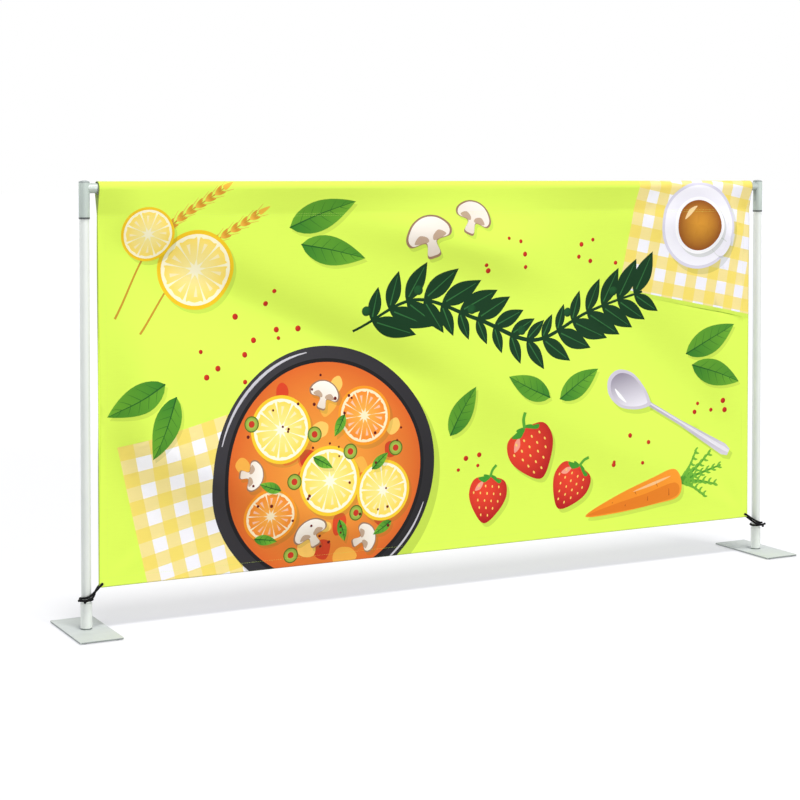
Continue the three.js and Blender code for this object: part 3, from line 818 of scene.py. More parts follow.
def addTie(side):
    axis = middleOf("pole_" + side)
    wrapHeight = middleOf("eyelet_" + side).z - tie["drop"]
    places = [Vector((axis.x - sides[side] * x * mm, y * mm, wrapHeight + z * mm)) for x, y, z in tieRoute]
    line = smoothLine(places, tie["stepsPerPoint"])
    reaches = reachesOf(line)
    radii = []
    for reach in reaches:  # a heat-sealed bead at each end
        fromEnd = min(reach, reaches[-1] - reach) / tie["sealedLength"]
        bead = math.sin(math.pi * min(fromEnd, 1.0)) ** 2 * (tie["sealedEnd"] - tie["radius"])
        rounding = tie["endShare"] + (1 - tie["endShare"]) * min(fromEnd * 3, 1.0)
        radii.append((tie["radius"] + bead) * rounding)
    piece = sweptTube("elastic_" + side, line, radii, tie["around"], tie["braidPitch"])
    dress(piece, "elastic", "elastic", "frame", "tie_" + side)
    print(f"elastic_{side}: {reaches[-1] / mm:.1f} mm long")


for side in sides:
    addTie(side)


# Eyelets: pressed brass, rolled over both faces of the cloth

eyelet = {
    "hole": 0.0029,
    "wall": 0.0006,
    "flange": 0.0055,
    "roll": 0.0005,
    "rollSteps": 8,
    "rollPower": 0.7,  # under 1, for a fuller roll than a half circle's
    "front": -0.00055,
    "back": 0.0007,
}


def addEyelet(side):
    node = "eyelet_" + side
    middle = middleOf(node)
    barrel = eyelet["hole"] + eyelet["wall"]
    rollMiddle, rollHalf = (eyelet["hole"] + eyelet["flange"]) / 2, (eyelet["flange"] - eyelet["hole"]) / 2
    rolled = []
    for edge, way in ((eyelet["front"], -1), (eyelet["back"], 1)):
        angles = [step / eyelet["rollSteps"] * math.pi for step in range(eyelet["rollSteps"] + 1)]
        rolled.append([
            (rollMiddle - rollHalf * math.cos(angle),
             edge + way * eyelet["roll"] * math.sin(angle) ** eyelet["rollPower"]) for angle in angles])
    piece = turnPiece("corner_eyelet_" + side, Vector((middle.x, 0, middle.z)), [
        *reversed(rolled[0]), *rolled[1], (barrel, eyelet["back"]), (barrel, eyelet["front"]), rolled[0][-1],
    ], along="Y", around=48)
    dress(piece, "eyeletMetal", "eyelet_metal", "frame", node)


for side in sides:
    addEyelet(side)
print("ties and eyelets are modelled")


# Banner cloth: where it runs and how it hangs

cloth = {
    "thickness": 0.0005,
    "layerGap": 0.0001,
    "hem": 0.025,
    "hemGap": 0.0004,
    "seamAllowance": 0.009,
    "seamHeight": 0.003,
    "seamShare": 0.1,  # of the way from the seam to the bar, where one more row of points lies
    "pocketDepth": 0.076,
    "barClear": 0.00005,
    "arcSteps": 28,
    "bendSteps": 6,
    "grid": 0.012,
    "backPale": 0.42,  # how far the unprinted face goes towards white
    "backLevel": 0.93,
    "foldHeight": 0.026,
    "foldEnd": 0.17,
    "foldTop": (0.036, 0.18),  # how far down the folds start and are full
    "foldSide": 0.12,
    "foldSideShare": 0.1,  # of their height at the side edges
    "foldBottom": 0.09,
    "hangForward": 0.007,  # friction on the bar lets the seam hang in front of the bar's middle
    "hangSwingShares": (0.9, 0.53, 0.46),  # how much that varies along the bar, its crest and its length
    "backLower": 0.01,  # the back starts this much lower and slower, so that it clears the bar's underside
    "backPower": 1.3,
    "cornerPull": 0.0015,
    "cornerFan": 9,
    "cornerReach": (0.06, 0.2),
}
clothLow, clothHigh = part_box("banner")
clothWidth = clothHigh.x - clothLow.x
clothHeight = clothHigh.z - clothLow.z
seamHeight = clothHigh.z - cloth["pocketDepth"]
barDrop = clothHigh.z - middleOf("crossbar_left").z
backLayer = (cloth["thickness"] + cloth["layerGap"]) / 2
frontLayer = -backLayer

# Each fold: its crest from and to, as shares of the width and height from the top left, how
# far it stands out (below nothing is towards the front) as a share of the largest, and the
# spread of its upper and lower side in metres
foldShares = [
    ((0.17, -0.07), (0.55, 0.18), -0.8, 0.2, 0.066),
    ((0.04, 0.18), (0.4, 0.5), 0.95, 0.066, 0.2),
    ((0.5, -0.08), (1.04, 0.14), -0.9, 0.2, 0.068),
    ((0.15, 0.44), (0.38, 0.63), -0.4, 0.16, 0.09),
    ((-0.05, 0.52), (0.28, 0.86), -1, 0.2, 0.08),
    ((0.77, 0.4), (0.93, 0.68), 0.5, 0.09, 0.18),
    ((0.56, 0.56), (0.84, 0.8), -0.45, 0.18, 0.1),
]
foldLines = [
    ((startX * clothWidth, startY * clothHeight), (endX * clothWidth, endY * clothHeight), *rest)
    for (startX, startY), (endX, endY), *rest in foldShares
]


def smoothStep(value, low, high):
    share = min(max((value - low) / (high - low), 0), 1)
    return share * share * (3 - 2 * share)


def cornerPull(fromSide, fromBottom):  # small creases that fan out from the eyelets, inside the hems
    reach = math.hypot(fromSide, fromBottom)
    if reach > cloth["cornerReach"][1]:
        return 0.0
    fan = math.sin(math.atan2(fromBottom, fromSide) * cloth["cornerFan"])
    near = smoothStep(min(fromSide, fromBottom), cloth["hem"], 2 * cloth["hem"])
    return cloth["cornerPull"] * fan * near * (1 - smoothStep(reach, *cloth["cornerReach"]))


def clothRise(x, z, front=True):  # how far the cloth stands off its plane, towards the back
    across, down = x - clothLow.x, clothHigh.z - z
    fromSide, fromBottom = min(across, clothWidth - across), clothHeight - down
    offset = 0.0
    for (startX, startY), (endX, endY), rise, above, below in foldLines:
        alongX, alongY = endX - startX, endY - startY
        length = math.hypot(alongX, alongY)
        reach = ((across - startX) * alongX + (down - startY) * alongY) / length
        side = (alongX * (down - startY) - alongY * (across - startX)) / length
        past = max(-reach, reach - length, 0) / cloth["foldEnd"]
        spread = below if side > 0 else above
        offset += rise * cloth["foldHeight"] * math.exp(-(side / spread) ** 2 - past ** 2)
    inwards = smoothStep(fromSide, 0, cloth["foldSide"])
    offset *= smoothStep(down, *cloth["foldTop"]) * smoothStep(fromBottom, 0, cloth["foldBottom"])
    offset *= cloth["foldSideShare"] + (1 - cloth["foldSideShare"]) * inwards
    start, power = (barDrop, 1) if front else (barDrop + cloth["backLower"], cloth["backPower"])
    forward = min(max((down - start) / (cloth["pocketDepth"] - start), 0), 1) ** power
    forward *= smoothStep(fromBottom, 0, clothHeight / 2) * inwards
    swing, crest, length = cloth["hangSwingShares"]
    forward *= 1 + swing * math.cos(math.tau * (across / clothWidth - crest) / length)
    return offset - cloth["hangForward"] * forward + cornerPull(fromSide, fromBottom)


def clothProfile():
    # The cloth's middle as (y, z) pairs: from the hem's free edge on the back, round the
    # bottom, up the front, over the bar and down to the free edge under the pocket's seam
    middle = middleOf("crossbar_left")
    centre = Vector((middle.y, middle.z))
    radius = sizeOf("crossbar_left").z / 2 + cloth["barClear"] + cloth["thickness"] / 2
    bottom = clothLow.z + cloth["thickness"] / 2 + backLayer
    pairs = [(backLayer, clothLow.z + cloth["hem"])]
    for step in range(cloth["bendSteps"] + 1):
        angle = -step / cloth["bendSteps"] * math.pi
        pairs.append((backLayer * math.cos(angle), bottom + backLayer * math.sin(angle)))
    pairs += [(frontLayer, clothLow.z + cloth["hem"]), (frontLayer, seamHeight - cloth["seamHeight"])]
    frontSeam, backSeam = Vector((frontLayer, seamHeight)), Vector((backLayer, seamHeight))
    angles = []
    for seam, way in ((frontSeam, -1), (backSeam, 1)):  # where the straight parts leave the bar
        out = seam - centre
        angles.append(math.atan2(out.y, out.x) + way * math.acos(radius / out.length))
    start, turn = angles[0], angles[1] - 2 * math.pi - angles[0]
    arc = []
    for step in range(cloth["arcSteps"] + 1):
        angle = start + turn * step / cloth["arcSteps"]
        arc.append((centre.x + radius * math.cos(angle), centre.y + radius * math.sin(angle)))
    near = [tuple(seam.lerp(Vector(place), cloth["seamShare"]))
            for seam, place in ((frontSeam, arc[0]), (backSeam, arc[-1]))]
    pairs += [tuple(frontSeam), near[0], *arc, near[1], tuple(backSeam)]
    pairs += [(backLayer, seamHeight - cloth["seamHeight"]), (backLayer, seamHeight - cloth["seamAllowance"])]
    return pairs


profile = clothProfile()
reached = reachesOf(profile)
cutLength = reached[-1]
heights = [z for y, z in profile]
topReach, bottomReach = reached[heights.index(max(heights))], reached[heights.index(min(heights))]


def clothPlace(across, along):  # a point of the flat cloth, where it hangs
    index = min(max(bisect.bisect_right(reached, along) - 1, 0), len(profile) - 2)
    share = (along - reached[index]) / (reached[index + 1] - reached[index])
    y, z = (before + share * (after - before) for before, after in zip(profile[index], profile[index + 1]))
    x = clothLow.x + across
    return Vector((x, y + clothRise(x, z, y < 0), z))


# Artwork: flat shapes in millimetres from the banner's top left, the lowest first. The ink of
# each is a colour, or gives one at every place

artwork = []
citrus = {  # rind, pith, flesh and its middle
    "lemon": ("#F4C81E", "#FFF8D2", "#FFDB42", "#FFF0A0"),
    "yellow": ("#F7CE2E", "#FFF9DC", "#FFD83E", "#FFEE90"),
    "orange": ("#F59A22", "#FFEBC2", "#F07A18", "#FFB24A"),
}
garlandGreen = "#003312"


def draw(outline, ink, cover=1.0):
    artwork.append((outline, ink, cover))


def shadow(outline, shift, cover):
    draw([(u + shift[0], v + shift[1]) for u, v in outline], "#5F7A1E", cover)


def blend(fromColour, toColour, shareAt):
    first, last = numpy.array(linear(fromColour)), numpy.array(linear(toColour))
    return lambda u, v: first + (last - first) * shareAt(u, v)[:, None]


def fadedInk(fromColour, toColour, start, end):  # along a line from start to end
    alongU, alongV = end[0] - start[0], end[1] - start[1]
    return blend(fromColour, toColour, lambda u, v: numpy.clip(
        ((u - start[0]) * alongU + (v - start[1]) * alongV) / (alongU ** 2 + alongV ** 2), 0, 1))


def roundInk(inner, outer, centre, radius):  # from the centre out
    return blend(inner, outer, lambda u, v: numpy.clip(
        numpy.hypot(u - centre[0], v - centre[1]) / radius, 0, 1) ** 1.5)


def placed(points, centre, turn, scale=1.0):
    cosine, sine = math.cos(math.radians(turn)), math.sin(math.radians(turn))
    return [(centre[0] + scale * (u * cosine - v * sine), centre[1] + scale * (u * sine + v * cosine))
            for u, v in points]


def pen(centre, turn=0.0, scale=1.0):  # draws shapes that are written round (0, 0)
    return lambda points, ink, cover=1.0: draw(placed(points, centre, turn, scale), ink, cover)


def oval(centre, radius, squeeze=1.0):
    count = 14 + int(radius * 0.55)
    angles = (math.tau * step / count for step in range(count))
    return [(centre[0] + radius * math.cos(angle), centre[1] + radius * squeeze * math.sin(angle))
            for angle in angles]


def curveThrough(points, steps):  # a Catmull-Rom curve through all but the first and last
    line = []
    for quad in zip(points, points[1:], points[2:], points[3:]):
        for t in (step / steps for step in range(steps)):
            line.append(tuple(0.5 * (
                2 * b + (c - a) * t + (2 * a - 5 * b + 4 * c - d) * t * t + (3 * b - a - 3 * c + d) * t ** 3
            ) for a, b, c, d in zip(*quad)))
    return line


def closedCurve(points, steps):
    return curveThrough([points[-1], *points, *points[:2]], steps)


def openCurve(points, steps):
    first, last = (tuple(2 * a - b for a, b in zip(*pair)) for pair in (points[:2], points[:-3:-1]))
    return [*curveThrough([first, *points, last], steps), points[-1]]


def taper(start, end):  # a ribbon's half width
    return lambda share: start + (end - start) * share


def ribbonOf(line, halfAt):
    left, right = [], []
    for index, (u, v) in enumerate(line):
        before, after = line[max(index - 1, 0)], line[min(index + 1, len(line) - 1)]
        span, half = math.dist(before, after), halfAt(index / (len(line) - 1))
        stepU, stepV = (after[0] - before[0]) / span * half, (after[1] - before[1]) / span * half
        left.append((u - stepV, v + stepU))
        right.append((u + stepV, v - stepU))
    return [*left, *reversed(right)]


def spanOf(start, end):  # its length, and its turn in degrees
    return math.dist(start, end), math.degrees(math.atan2(end[1] - start[1], end[0] - start[0]))


def leafEdges(length, halfAt):  # the upper one from base to tip, and the lower one back
    upper = [(length * step / 12, -halfAt(step / 12)) for step in range(1, 12)]
    return [(0, 0), *upper, (length, 0)], [(u, -v) for u, v in reversed(upper)]


def drawNapkin(centre, size, turn, check):
    half = size / 2
    put = pen(centre, turn)
    square = placed([(-half, -half), (half, -half), (half, half), (-half, half)], centre, turn)
    shadow(square, (10, 13), 0.14)
    draw(square, fadedInk("#FFFFFF", "#EFEEFA", square[0], square[2]))
    for index in range(0, int(size / check), 2):
        low = -half + index * check
        band = [(low, -half), (low + check, -half), (low + check, half), (low, half)]
        put(band, "#F8DF5A", 0.76)
        put([(v, u) for u, v in band], "#F8DF5A", 0.76)


def drawLeaf(base, tip, width, dark="#2F7D22", bright="#6FB02C", veins=5):
    length, turn = spanOf(base, tip)
    put = pen(base, turn)

    def halfAt(share):
        return width / 2 * math.sin(math.pi * share ** 0.8) ** 0.9

    upper, lower = leafEdges(length, halfAt)
    spine = [(0, 0), (length / 2, -width * 0.04), (length, 0)]
    whole = placed([*upper, *lower], base, turn)
    shadow(whole, (6, 8), 0.2)
    draw(whole, fadedInk(dark, bright, base, tip))
    put([*upper, spine[1]], fadedInk(bright, dark, base, tip), 0.75)
    for index in range(1, veins + 1):
        share = index / (veins + 1.5)
        for way in (-1, 1):
            vein = [(length * (share + on), way * halfAt(share + on) * reach)
                    for on, reach in ((0, 0), (0.07, 0.48), (0.12, 0.8))]
            put(ribbonOf(vein, taper(0.9, 0.3)), "#1F5E1B", 0.7)
    put(ribbonOf(openCurve(spine, 4), taper(1.8, 0.5)), "#1F5E1B")


def drawCitrus(centre, radius, kind, wedges, turn):
    rind, pith, flesh, core = citrus[kind]
    shadow(oval(centre, radius), (7, 9), 0.22)
    draw(oval(centre, radius), rind)
    draw(oval(centre, radius * 0.9), pith)
    outer, half = radius * 0.82, math.pi / wedges * 0.84
    wedge = [(radius * 0.12, 0)]
    for step in range(-3, 4):
        angle = half * step / 3
        wedge.append((outer * math.cos(angle) * (1 - 0.05 * abs(step) / 3), outer * math.sin(angle)))
    gleam = [(radius * 0.4, -radius * 0.04), (radius * 0.68, -radius * 0.08), (radius * 0.68, radius * 0.02)]
    for index in range(wedges):
        put = pen(centre, 360 / wedges * index + turn)
        put(closedCurve(wedge, 3), roundInk(core, flesh, centre, radius))
        put(gleam, "#FFFFFF", 0.35)


def drawBerry(centre, scale, turn):
    put = pen(centre, turn, scale)
    body = [(0, 52), (-26, 30), (-42, -2), (-34, -32), (0, -38), (34, -32), (42, -2), (26, 30)]
    outline = placed(closedCurve(body, 6), centre, turn, scale)
    shadow(outline, (8, 10), 0.25)
    draw(outline, roundInk("#F0452C", "#B3121A", placed([(-12, -14)], centre, turn, scale)[0], 62 * scale))
    put(closedCurve([(-30, -10), (-24, -24), (-14, -28), (-18, -14)], 5), "#FFB7A0", 0.75)
    for row, width in ((-20, 4), (-6, 5), (8, 4), (22, 3), (36, 2)):
        for index in range(width):
            seat = ((index - (width - 1) / 2) * 15 + (row % 3 - 1) * 2, row)
            put(placed(oval((0, 0), 2.6, 0.6), seat, 80), "#FFD76A")
    for angle in (-150, -118, -90, -62, -30):
        tip = (math.cos(math.radians(angle)) * 30, -34 + math.sin(math.radians(angle)) * 14 + 8)
        blade = [(0, -40), ((tip[0] - 8) * 0.6, tip[1] - 4), tip, ((tip[0] + 8) * 0.6, tip[1] + 6)]
        put(closedCurve(blade, 5), "#3F9A2B")
    put(ribbonOf(openCurve([(0, -38), (3, -52), (10, -62)], 4), taper(2.8, 2.8)), "#57AA34")


def drawMushroom(centre, scale, turn):
    put = pen(centre, turn, scale)
    body = closedCurve([(-13, 34), (-11, 8), (-40, 6), (-46, -12), (-28, -34), (0, -42), (28, -34),
                        (46, -12), (40, 6), (11, 8), (13, 34), (0, 38)], 6)
    shadow(placed(body, centre, turn, scale), (6, 8), 0.22)
    put(body, "#9C7A5E")
    ends = placed([(0, -40), (0, 36)], centre, turn, scale)
    put([(u * 0.9, v * 0.9 - 1) for u, v in body], fadedInk("#FFF9EE", "#E6D8C6", *ends))
    gills = closedCurve([(-32, 2), (-20, -10), (-6, -3), (-7, 6)], 5)
    for way in (-1, 1):
        put([(u * way, v) for u, v in gills], "#B08C6C", 0.8)


def drawOlive(centre, radius):
    draw(oval(centre, radius), "#4E6A1C")
    draw(oval(centre, radius * 0.86), roundInk("#B9CF5A", "#7C9A2E", centre, radius))
    draw(oval(centre, radius * 0.42), "#C8341F")


def drawPeppercorn(centre, radius, colour="#E2341C", dark="#A81A12"):
    bright = (centre[0] - radius * 0.3, centre[1] - radius * 0.3)
    draw(oval(centre, radius), roundInk(colour, dark, bright, radius * 1.4))


def drawCarrot(tip, top, width):
    length, turn = spanOf(tip, top)
    half = width / 2
    put = pen(tip, turn)
    for spread, reach in ((-38, 0.32), (-19, 0.42), (0, 0.48), (19, 0.42), (38, 0.32)):
        forward, sideways = math.cos(math.radians(spread)), math.sin(math.radians(spread))
        line = openCurve([(length * (0.97 + reach * on * forward), length * reach * out * sideways)
                          for on, out in ((0, 0), (0.5, 0.4), (1, 1.1))], 7)
        put(ribbonOf(line, taper(4.6, 2)), "#4C9A2A")
        for index in range(3, len(line) - 1, 2):
            size = 1.15 - 0.5 * index / len(line)
            for way in (-1, 1):
                blade = placed([(0, 0), (9, way * 9), (17, way * 11)], line[index], 0, size)
                put(ribbonOf(blade, taper(4.2, 1.4)), "#6DB536")
    body = closedCurve([(length * share, half * spread) for share, spread in (
        (0, 0), (0.3, -0.55), (0.7, -0.92), (0.94, -1), (1, 0), (0.94, 1), (0.7, 0.92), (0.3, 0.55))], 7)
    shadow(placed(body, tip, turn), (8, 10), 0.22)
    put(body, fadedInk("#F28A1E", "#FF9E2C", tip, top))
    put([(length * 0.02 + u * 0.95, v * 0.5 + half * 0.42 * min(u / length * 1.6, 1)) for u, v in body],
        "#D9640F", 0.5)
    for share, way in ((0.28, -1), (0.4, 1), (0.52, -1), (0.63, 1), (0.74, -1), (0.85, 1)):
        mark = [(length * share, way * half * 0.8 * share), (length * share + 3, way * half * 0.2)]
        put(ribbonOf(mark, taper(1.7, 0.7)), "#B94E0A", 0.8)
    gleam = closedCurve([(length * share, -half * spread) for share, spread in (
        (0.5, 0.45), (0.72, 0.62), (0.9, 0.6), (0.72, 0.42))], 5)
    put(gleam, "#FFD39A", 0.8)


def drawWheat(base, tip, bend):
    middle = ((base[0] + tip[0]) / 2 + bend[0], (base[1] + tip[1]) / 2 + bend[1])
    line = openCurve([base, middle, tip], 14)
    draw(ribbonOf(line, taper(2.6, 1.4)), "#C9952B")
    for index in range(12, len(line) - 1, 2):
        place, after = line[index:index + 2]
        turn = spanOf(place, after)[1]
        put = pen(place, turn)
        for way in (-1, 1):
            grain = closedCurve([(0, 0), (9, way * 8), (25, way * 10), (19, way * 2)], 4)
            put(grain, fadedInk("#F6C24A", "#D9962A", place, after))
            put(ribbonOf([(20, way * 6), (46, way * 15)], taper(0.9, 0.4)), "#E0AE44")
    pen(line[-1], turn)(closedCurve([(0, -6), (18, -4), (30, 0), (18, 4), (0, 6)], 4), "#F0B83C")


def drawSpoon(bowl, end, scale):
    length, turn = spanOf(bowl, end)
    put = pen(bowl, turn)
    edge = [(66 * scale, -6 * scale), (length * 0.5, -6.5 * scale),
            (length - 20, -15 * scale), (length, -9 * scale)]
    handle = [*edge, *((u, -v) for u, v in reversed(edge))]
    cup = closedCurve([(-70, 0), (-52, -34), (-8, -46), (40, -30), (72, -6), (72, 6), (40, 30), (-8, 46),
                       (-52, 34)], 6)
    cup = [(u * scale, v * scale) for u, v in cup]
    for outline in (cup, handle):
        shadow(placed(outline, bowl, turn), (9, 12), 0.25)
    put(handle, fadedInk("#A79FAE", "#D8D3DE", bowl, end))
    put([(u, v * 0.35 - 2 * scale) for u, v in handle], "#F2F0F6", 0.7)
    put(cup, "#CFC9D6")
    ends = placed([(-40 * scale, -36 * scale), (30 * scale, 40 * scale)], bowl, turn)
    put([(u * 0.84, v * 0.84) for u, v in cup], fadedInk("#8F8798", "#EFECF4", *ends))
    gleam = closedCurve([(-42, 12), (-22, 26), (6, 28), (-16, 18)], 5)
    put([(u * scale, v * scale) for u, v in gleam], "#FFFFFF", 0.85)


def drawCup(centre, radius):
    shadow(oval(centre, radius), (12, 15), 0.24)
    draw(oval(centre, radius), roundInk("#FFFFFF", "#D9D6E6", centre, radius))
    draw(oval(centre, radius * 0.93), roundInk("#E9E7F2", "#FBFAFF", centre, radius))
    grip = placed(ribbonOf(openCurve([(radius * 0.5, -18), (radius * 0.86, -22), (radius * 0.94, 0),
                                      (radius * 0.86, 22), (radius * 0.5, 18)], 6), taper(8, 8)), centre, 35)
    shadow(grip, (4, 6), 0.2)
    draw(grip, "#F4F2FA")
    shadow(oval(centre, radius * 0.66), (7, 9), 0.26)
    draw(oval(centre, radius * 0.66), roundInk("#E4E1EE", "#FFFFFF", centre, radius * 0.66))
    draw(oval(centre, radius * 0.58), roundInk("#D9962E", "#8E4A14", centre, radius * 0.6))
    pen(centre)(closedCurve([(radius * u, radius * v) for u, v in (
        (-0.4, -0.14), (-0.26, -0.36), (-0.04, -0.44), (-0.24, -0.24))], 6), "#FFE2A8", 0.8)


def drawGarland(points, leafLength, leafWidth):
    line = openCurve(points, 14)
    draw(ribbonOf(line, lambda share: 5.5 - 2.5 * abs(2 * share - 1)), garlandGreen)
    for index in range(4, len(line) - 2, 4):
        place, after = line[index:index + 2]
        turn = spanOf(place, after)[1]
        for way in (-1, 1):
            size = 0.78 + 0.22 * math.sin(index * 1.7 + way)
            upper, lower = leafEdges(leafLength * size, lambda share: (
                leafWidth * size / 2 * math.sin(math.pi * share ** 0.85)))
            put = pen(place, turn + way * 48)
            put([*upper, *lower], garlandGreen)
            rib = [(leafLength * size * 0.12, 0), (leafLength * size * 0.86, 0)]
            put(ribbonOf(rib, taper(1.8, 0.8)), "#2C6A34")
        if index % 12 == 4:
            drawPeppercorn((place[0] - 14, place[1] - 24), 12, "#1B5A2A", garlandGreen)


def drawTray(centre, radius):
    def spot(u, v):
        return centre[0] + u * radius, centre[1] + v * radius

    shadow(oval(centre, radius), (16, 22), 0.3)
    draw(oval(centre, radius), fadedInk("#3A383D", "#171619", spot(-1, -1), spot(1, 1)))
    for start, sweep, width in ((196, 66, 3.6), (20, 40, 2.6)):
        angles = [math.radians(start + sweep * step / 14) for step in range(15)]
        arc = [(math.cos(angle) * radius * 0.962, math.sin(angle) * radius * 0.962) for angle in angles]
        pen(centre)(ribbonOf(arc, lambda share: width * (
            0.15 + 0.85 * math.sin(math.pi * min(max(share, 0.02), 0.98)) ** 0.6)), "#D9D7DE", 0.85)
    draw(oval(centre, radius * 0.9), "#0F0E11")
    draw(oval(centre, radius * 0.87), roundInk("#F5A23C", "#D9531E", centre, radius))
    chance = random.Random(11)
    for index in range(34):  # a stew of squash and pepper under the slices
        angle, reach = chance.uniform(0, 2 * math.pi), 0.78 * chance.random() ** 0.6
        size = chance.uniform(16, 34)
        piece = closedCurve([(size * chance.uniform(0.7, 1.1) * math.cos(math.radians(60 * step)),
                              size * chance.uniform(0.5, 0.9) * math.sin(math.radians(60 * step)))
                             for step in range(6)], 4)
        put = pen(spot(reach * math.cos(angle), reach * math.sin(angle)), chance.uniform(0, 180))
        put(piece, chance.choice(("#F7B84A", "#EE6A2A", "#D8321C", "#F28A2E", "#FFD36A", "#C8281A")), 0.85)
    for u, v, share, wedges, turn in (
        (-0.4, -0.36, 0.27, 9, 0), (0.36, -0.42, 0.24, 10, 14), (0.02, 0.08, 0.28, 9, 8),
        (-0.5, 0.32, 0.22, 10, 20), (0.52, 0.2, 0.25, 9, 5),
    ):
        drawCitrus(spot(u, v), share * radius, "orange" if wedges == 10 else "yellow", wedges, turn)
    for u, v, scale, turn in ((0, -0.6, 0.9, 20), (-0.14, 0.5, 0.95, -30), (0.34, 0.58, 0.85, 70),
                              (-0.68, -0.02, 0.8, 100)):
        drawMushroom(spot(u, v), scale, turn)
    for u, v in ((-0.1, -0.3), (0.22, -0.14), (-0.3, 0.06), (0.26, 0.36), (0.64, -0.14), (-0.3, 0.66),
                 (-0.66, -0.42)):
        drawOlive(spot(u, v), 19)
    for u, v, turn in ((-0.12, -0.12, 30), (0.18, -0.44, 120), (0.42, 0.02, -40), (-0.42, 0.12, 200),
                       (0.1, 0.4, 70), (-0.62, 0.5, 10), (0.6, 0.46, 150)):
        drawLeaf(spot(u, v), placed([(58, 0)], spot(u, v), turn)[0], 26, "#2F7D22", "#7CC136", 3)
    for index in range(40):
        angle, reach = chance.uniform(0, 2 * math.pi), 0.8 * chance.random() ** 0.5
        drawPeppercorn(spot(reach * math.cos(angle), reach * math.sin(angle)), chance.uniform(2.6, 4.2),
                       "#7E1410", "#4A0A08")


def drawBanner():
    drawNapkin((300, 770), 430, -13, 33)
    drawNapkin((1702, 92), 500, 11, 33)
    drawWheat((40, 320), (300, 24), (-26, -34))
    drawWheat((96, 356), (392, 84), (-20, -30))
    drawCitrus((236, 214), 92, "lemon", 9, 12)
    drawCitrus((118, 130), 62, "lemon", 8, 0)
    drawCup((1652, 128), 116)
    drawGarland([(640, 372), (800, 300), (970, 352), (1140, 412), (1310, 350), (1480, 300)], 124, 50)
    drawSpoon((1438, 560), (1764, 742), 1.05)
    drawTray((560, 700), 296)
    drawBerry((1136, 690), 1.6, -24)
    drawBerry((1256, 788), 1.35, 30)
    drawBerry((1010, 800), 1.3, 8)
    drawCarrot((1304, 876), (1604, 806), 78)
    drawMushroom((836, 150), 1.35, -18)
    drawMushroom((956, 104), 1.1, 24)
    for base, tip, width in (
        ((470, 120), (640, 58), 74), ((500, 160), (668, 196), 70), ((150, 470), (20, 540), 66),
        ((176, 500), (120, 640), 64), ((1186, 560), (1060, 500), 60), ((1216, 566), (1342, 496), 60),
        ((1620, 470), (1776, 396), 72), ((1640, 500), (1796, 552), 68), ((900, 640), (966, 520), 58),
    ):
        drawLeaf(base, tip, width)
    chance = random.Random(5)
    for u, v, spread, count in ((420, 330, 90, 7), (1040, 190, 70, 6), (1340, 190, 60, 5), (960, 700, 40, 4),
                                (300, 440, 60, 5), (1700, 640, 60, 5), (1450, 700, 70, 5)):
        for index in range(count):
            place = (u + chance.uniform(-spread, spread), v + chance.uniform(-spread, spread) * 0.7)
            drawPeppercorn(place, chance.uniform(4.5, 7.5))


def drawPaintedHemShade(edge):  # painted shade: a dark strip along the hems' pressed folds at the left, right and bottom edges, deepest at the left
    wide, tall = clothWidth / mm, (topReach - bottomReach) / mm
    for left, top, right, bottom, cover in (
        (0, 0, edge, tall, 0.6), (wide - edge, 0, wide, tall, 0.3), (0, tall - edge, wide, tall + edge, 0.45),
    ):
        draw([(left, top), (right, top), (right, bottom), (left, bottom)], "#4C5630", cover)


drawBanner()
# painted shade strips along the hem edges
drawPaintedHemShade(1.8)
print(f"{len(artwork)} printed shapes drawn")


# The cloth's mesh: the flat sheet is divided along every printed outline, then hung

def flatMesh():
    points, edges = [], []
    width, length = clothWidth / mm, cutLength / mm

    def addLoop(outline):
        first, count = len(points), len(outline)
        points.extend(Vector(place) for place in outline)
        edges.extend((first + step, first + (step + 1) % count) for step in range(count))

    addLoop([(0, 0), (width, 0), (width, length), (0, length)])
    for outline, ink, cover in artwork:
        addLoop([(u, topReach / mm - v) for u, v in outline])
    holes = []
    for side in sides:
        place = middleOf("eyelet_" + side)
        across, fromEdge = (place.x - clothLow.x) / mm, place.z - clothLow.z
        for height in (cloth["hem"] - fromEdge, reached[cloth["bendSteps"] + 1] + fromEdge - backLayer):
            holes.append(oval((across, height / mm), (eyelet["hole"] + eyelet["wall"]) / mm))
            addLoop(holes[-1])
    columns = int(clothWidth / cloth["grid"])
    for row in reached:
        first = len(points)
        points.extend(Vector((width * column / columns, row / mm)) for column in range(columns + 1))
        edges.extend((first + column, first + column + 1) for column in range(columns))
    for low, high in zip(reached, reached[1:]):
        rows = int((high - low) / cloth["grid"])
        for row in range(1, rows):
            for column in range(-1, columns + 1):
                across = min(max((column + 0.5 * (row % 2)) / columns, 0), 1)
                points.append(Vector((width * across, (low + (high - low) * row / rows) / mm)))
    made = delaunay_2d_cdt(points, edges, [], 0, 1e-4, False)
    places, corners = numpy.array([tuple(place) for place in made[0]]), numpy.array(made[2])
    middles = places[corners].mean(axis=1)
    kept = ((middles > 0) & (middles < (width, length))).all(axis=1)
    for hole in holes:
        kept &= ~insideOutline(hole, middles)
    return places, corners[kept], middles[kept]


def insideOutline(outline, middles):  # by how often the outline winds round each point
    low, high = numpy.min(outline, axis=0), numpy.max(outline, axis=0)
    near = numpy.flatnonzero(((middles > low) & (middles < high)).all(axis=1))
    turns = numpy.zeros(len(near), dtype=int)
    u, v = middles[near, 0], middles[near, 1]
    for (startU, startV), (endU, endV) in zip(outline, [*outline[1:], outline[0]]):
        side = (endU - startU) * (v - startV) - (u - startU) * (endV - startV)
        turns += (startV <= v) & (endV > v) & (side > 0)
        turns -= (startV > v) & (endV <= v) & (side < 0)
    inside = numpy.zeros(len(middles), dtype=bool)
    inside[near[turns != 0]] = True
    return inside


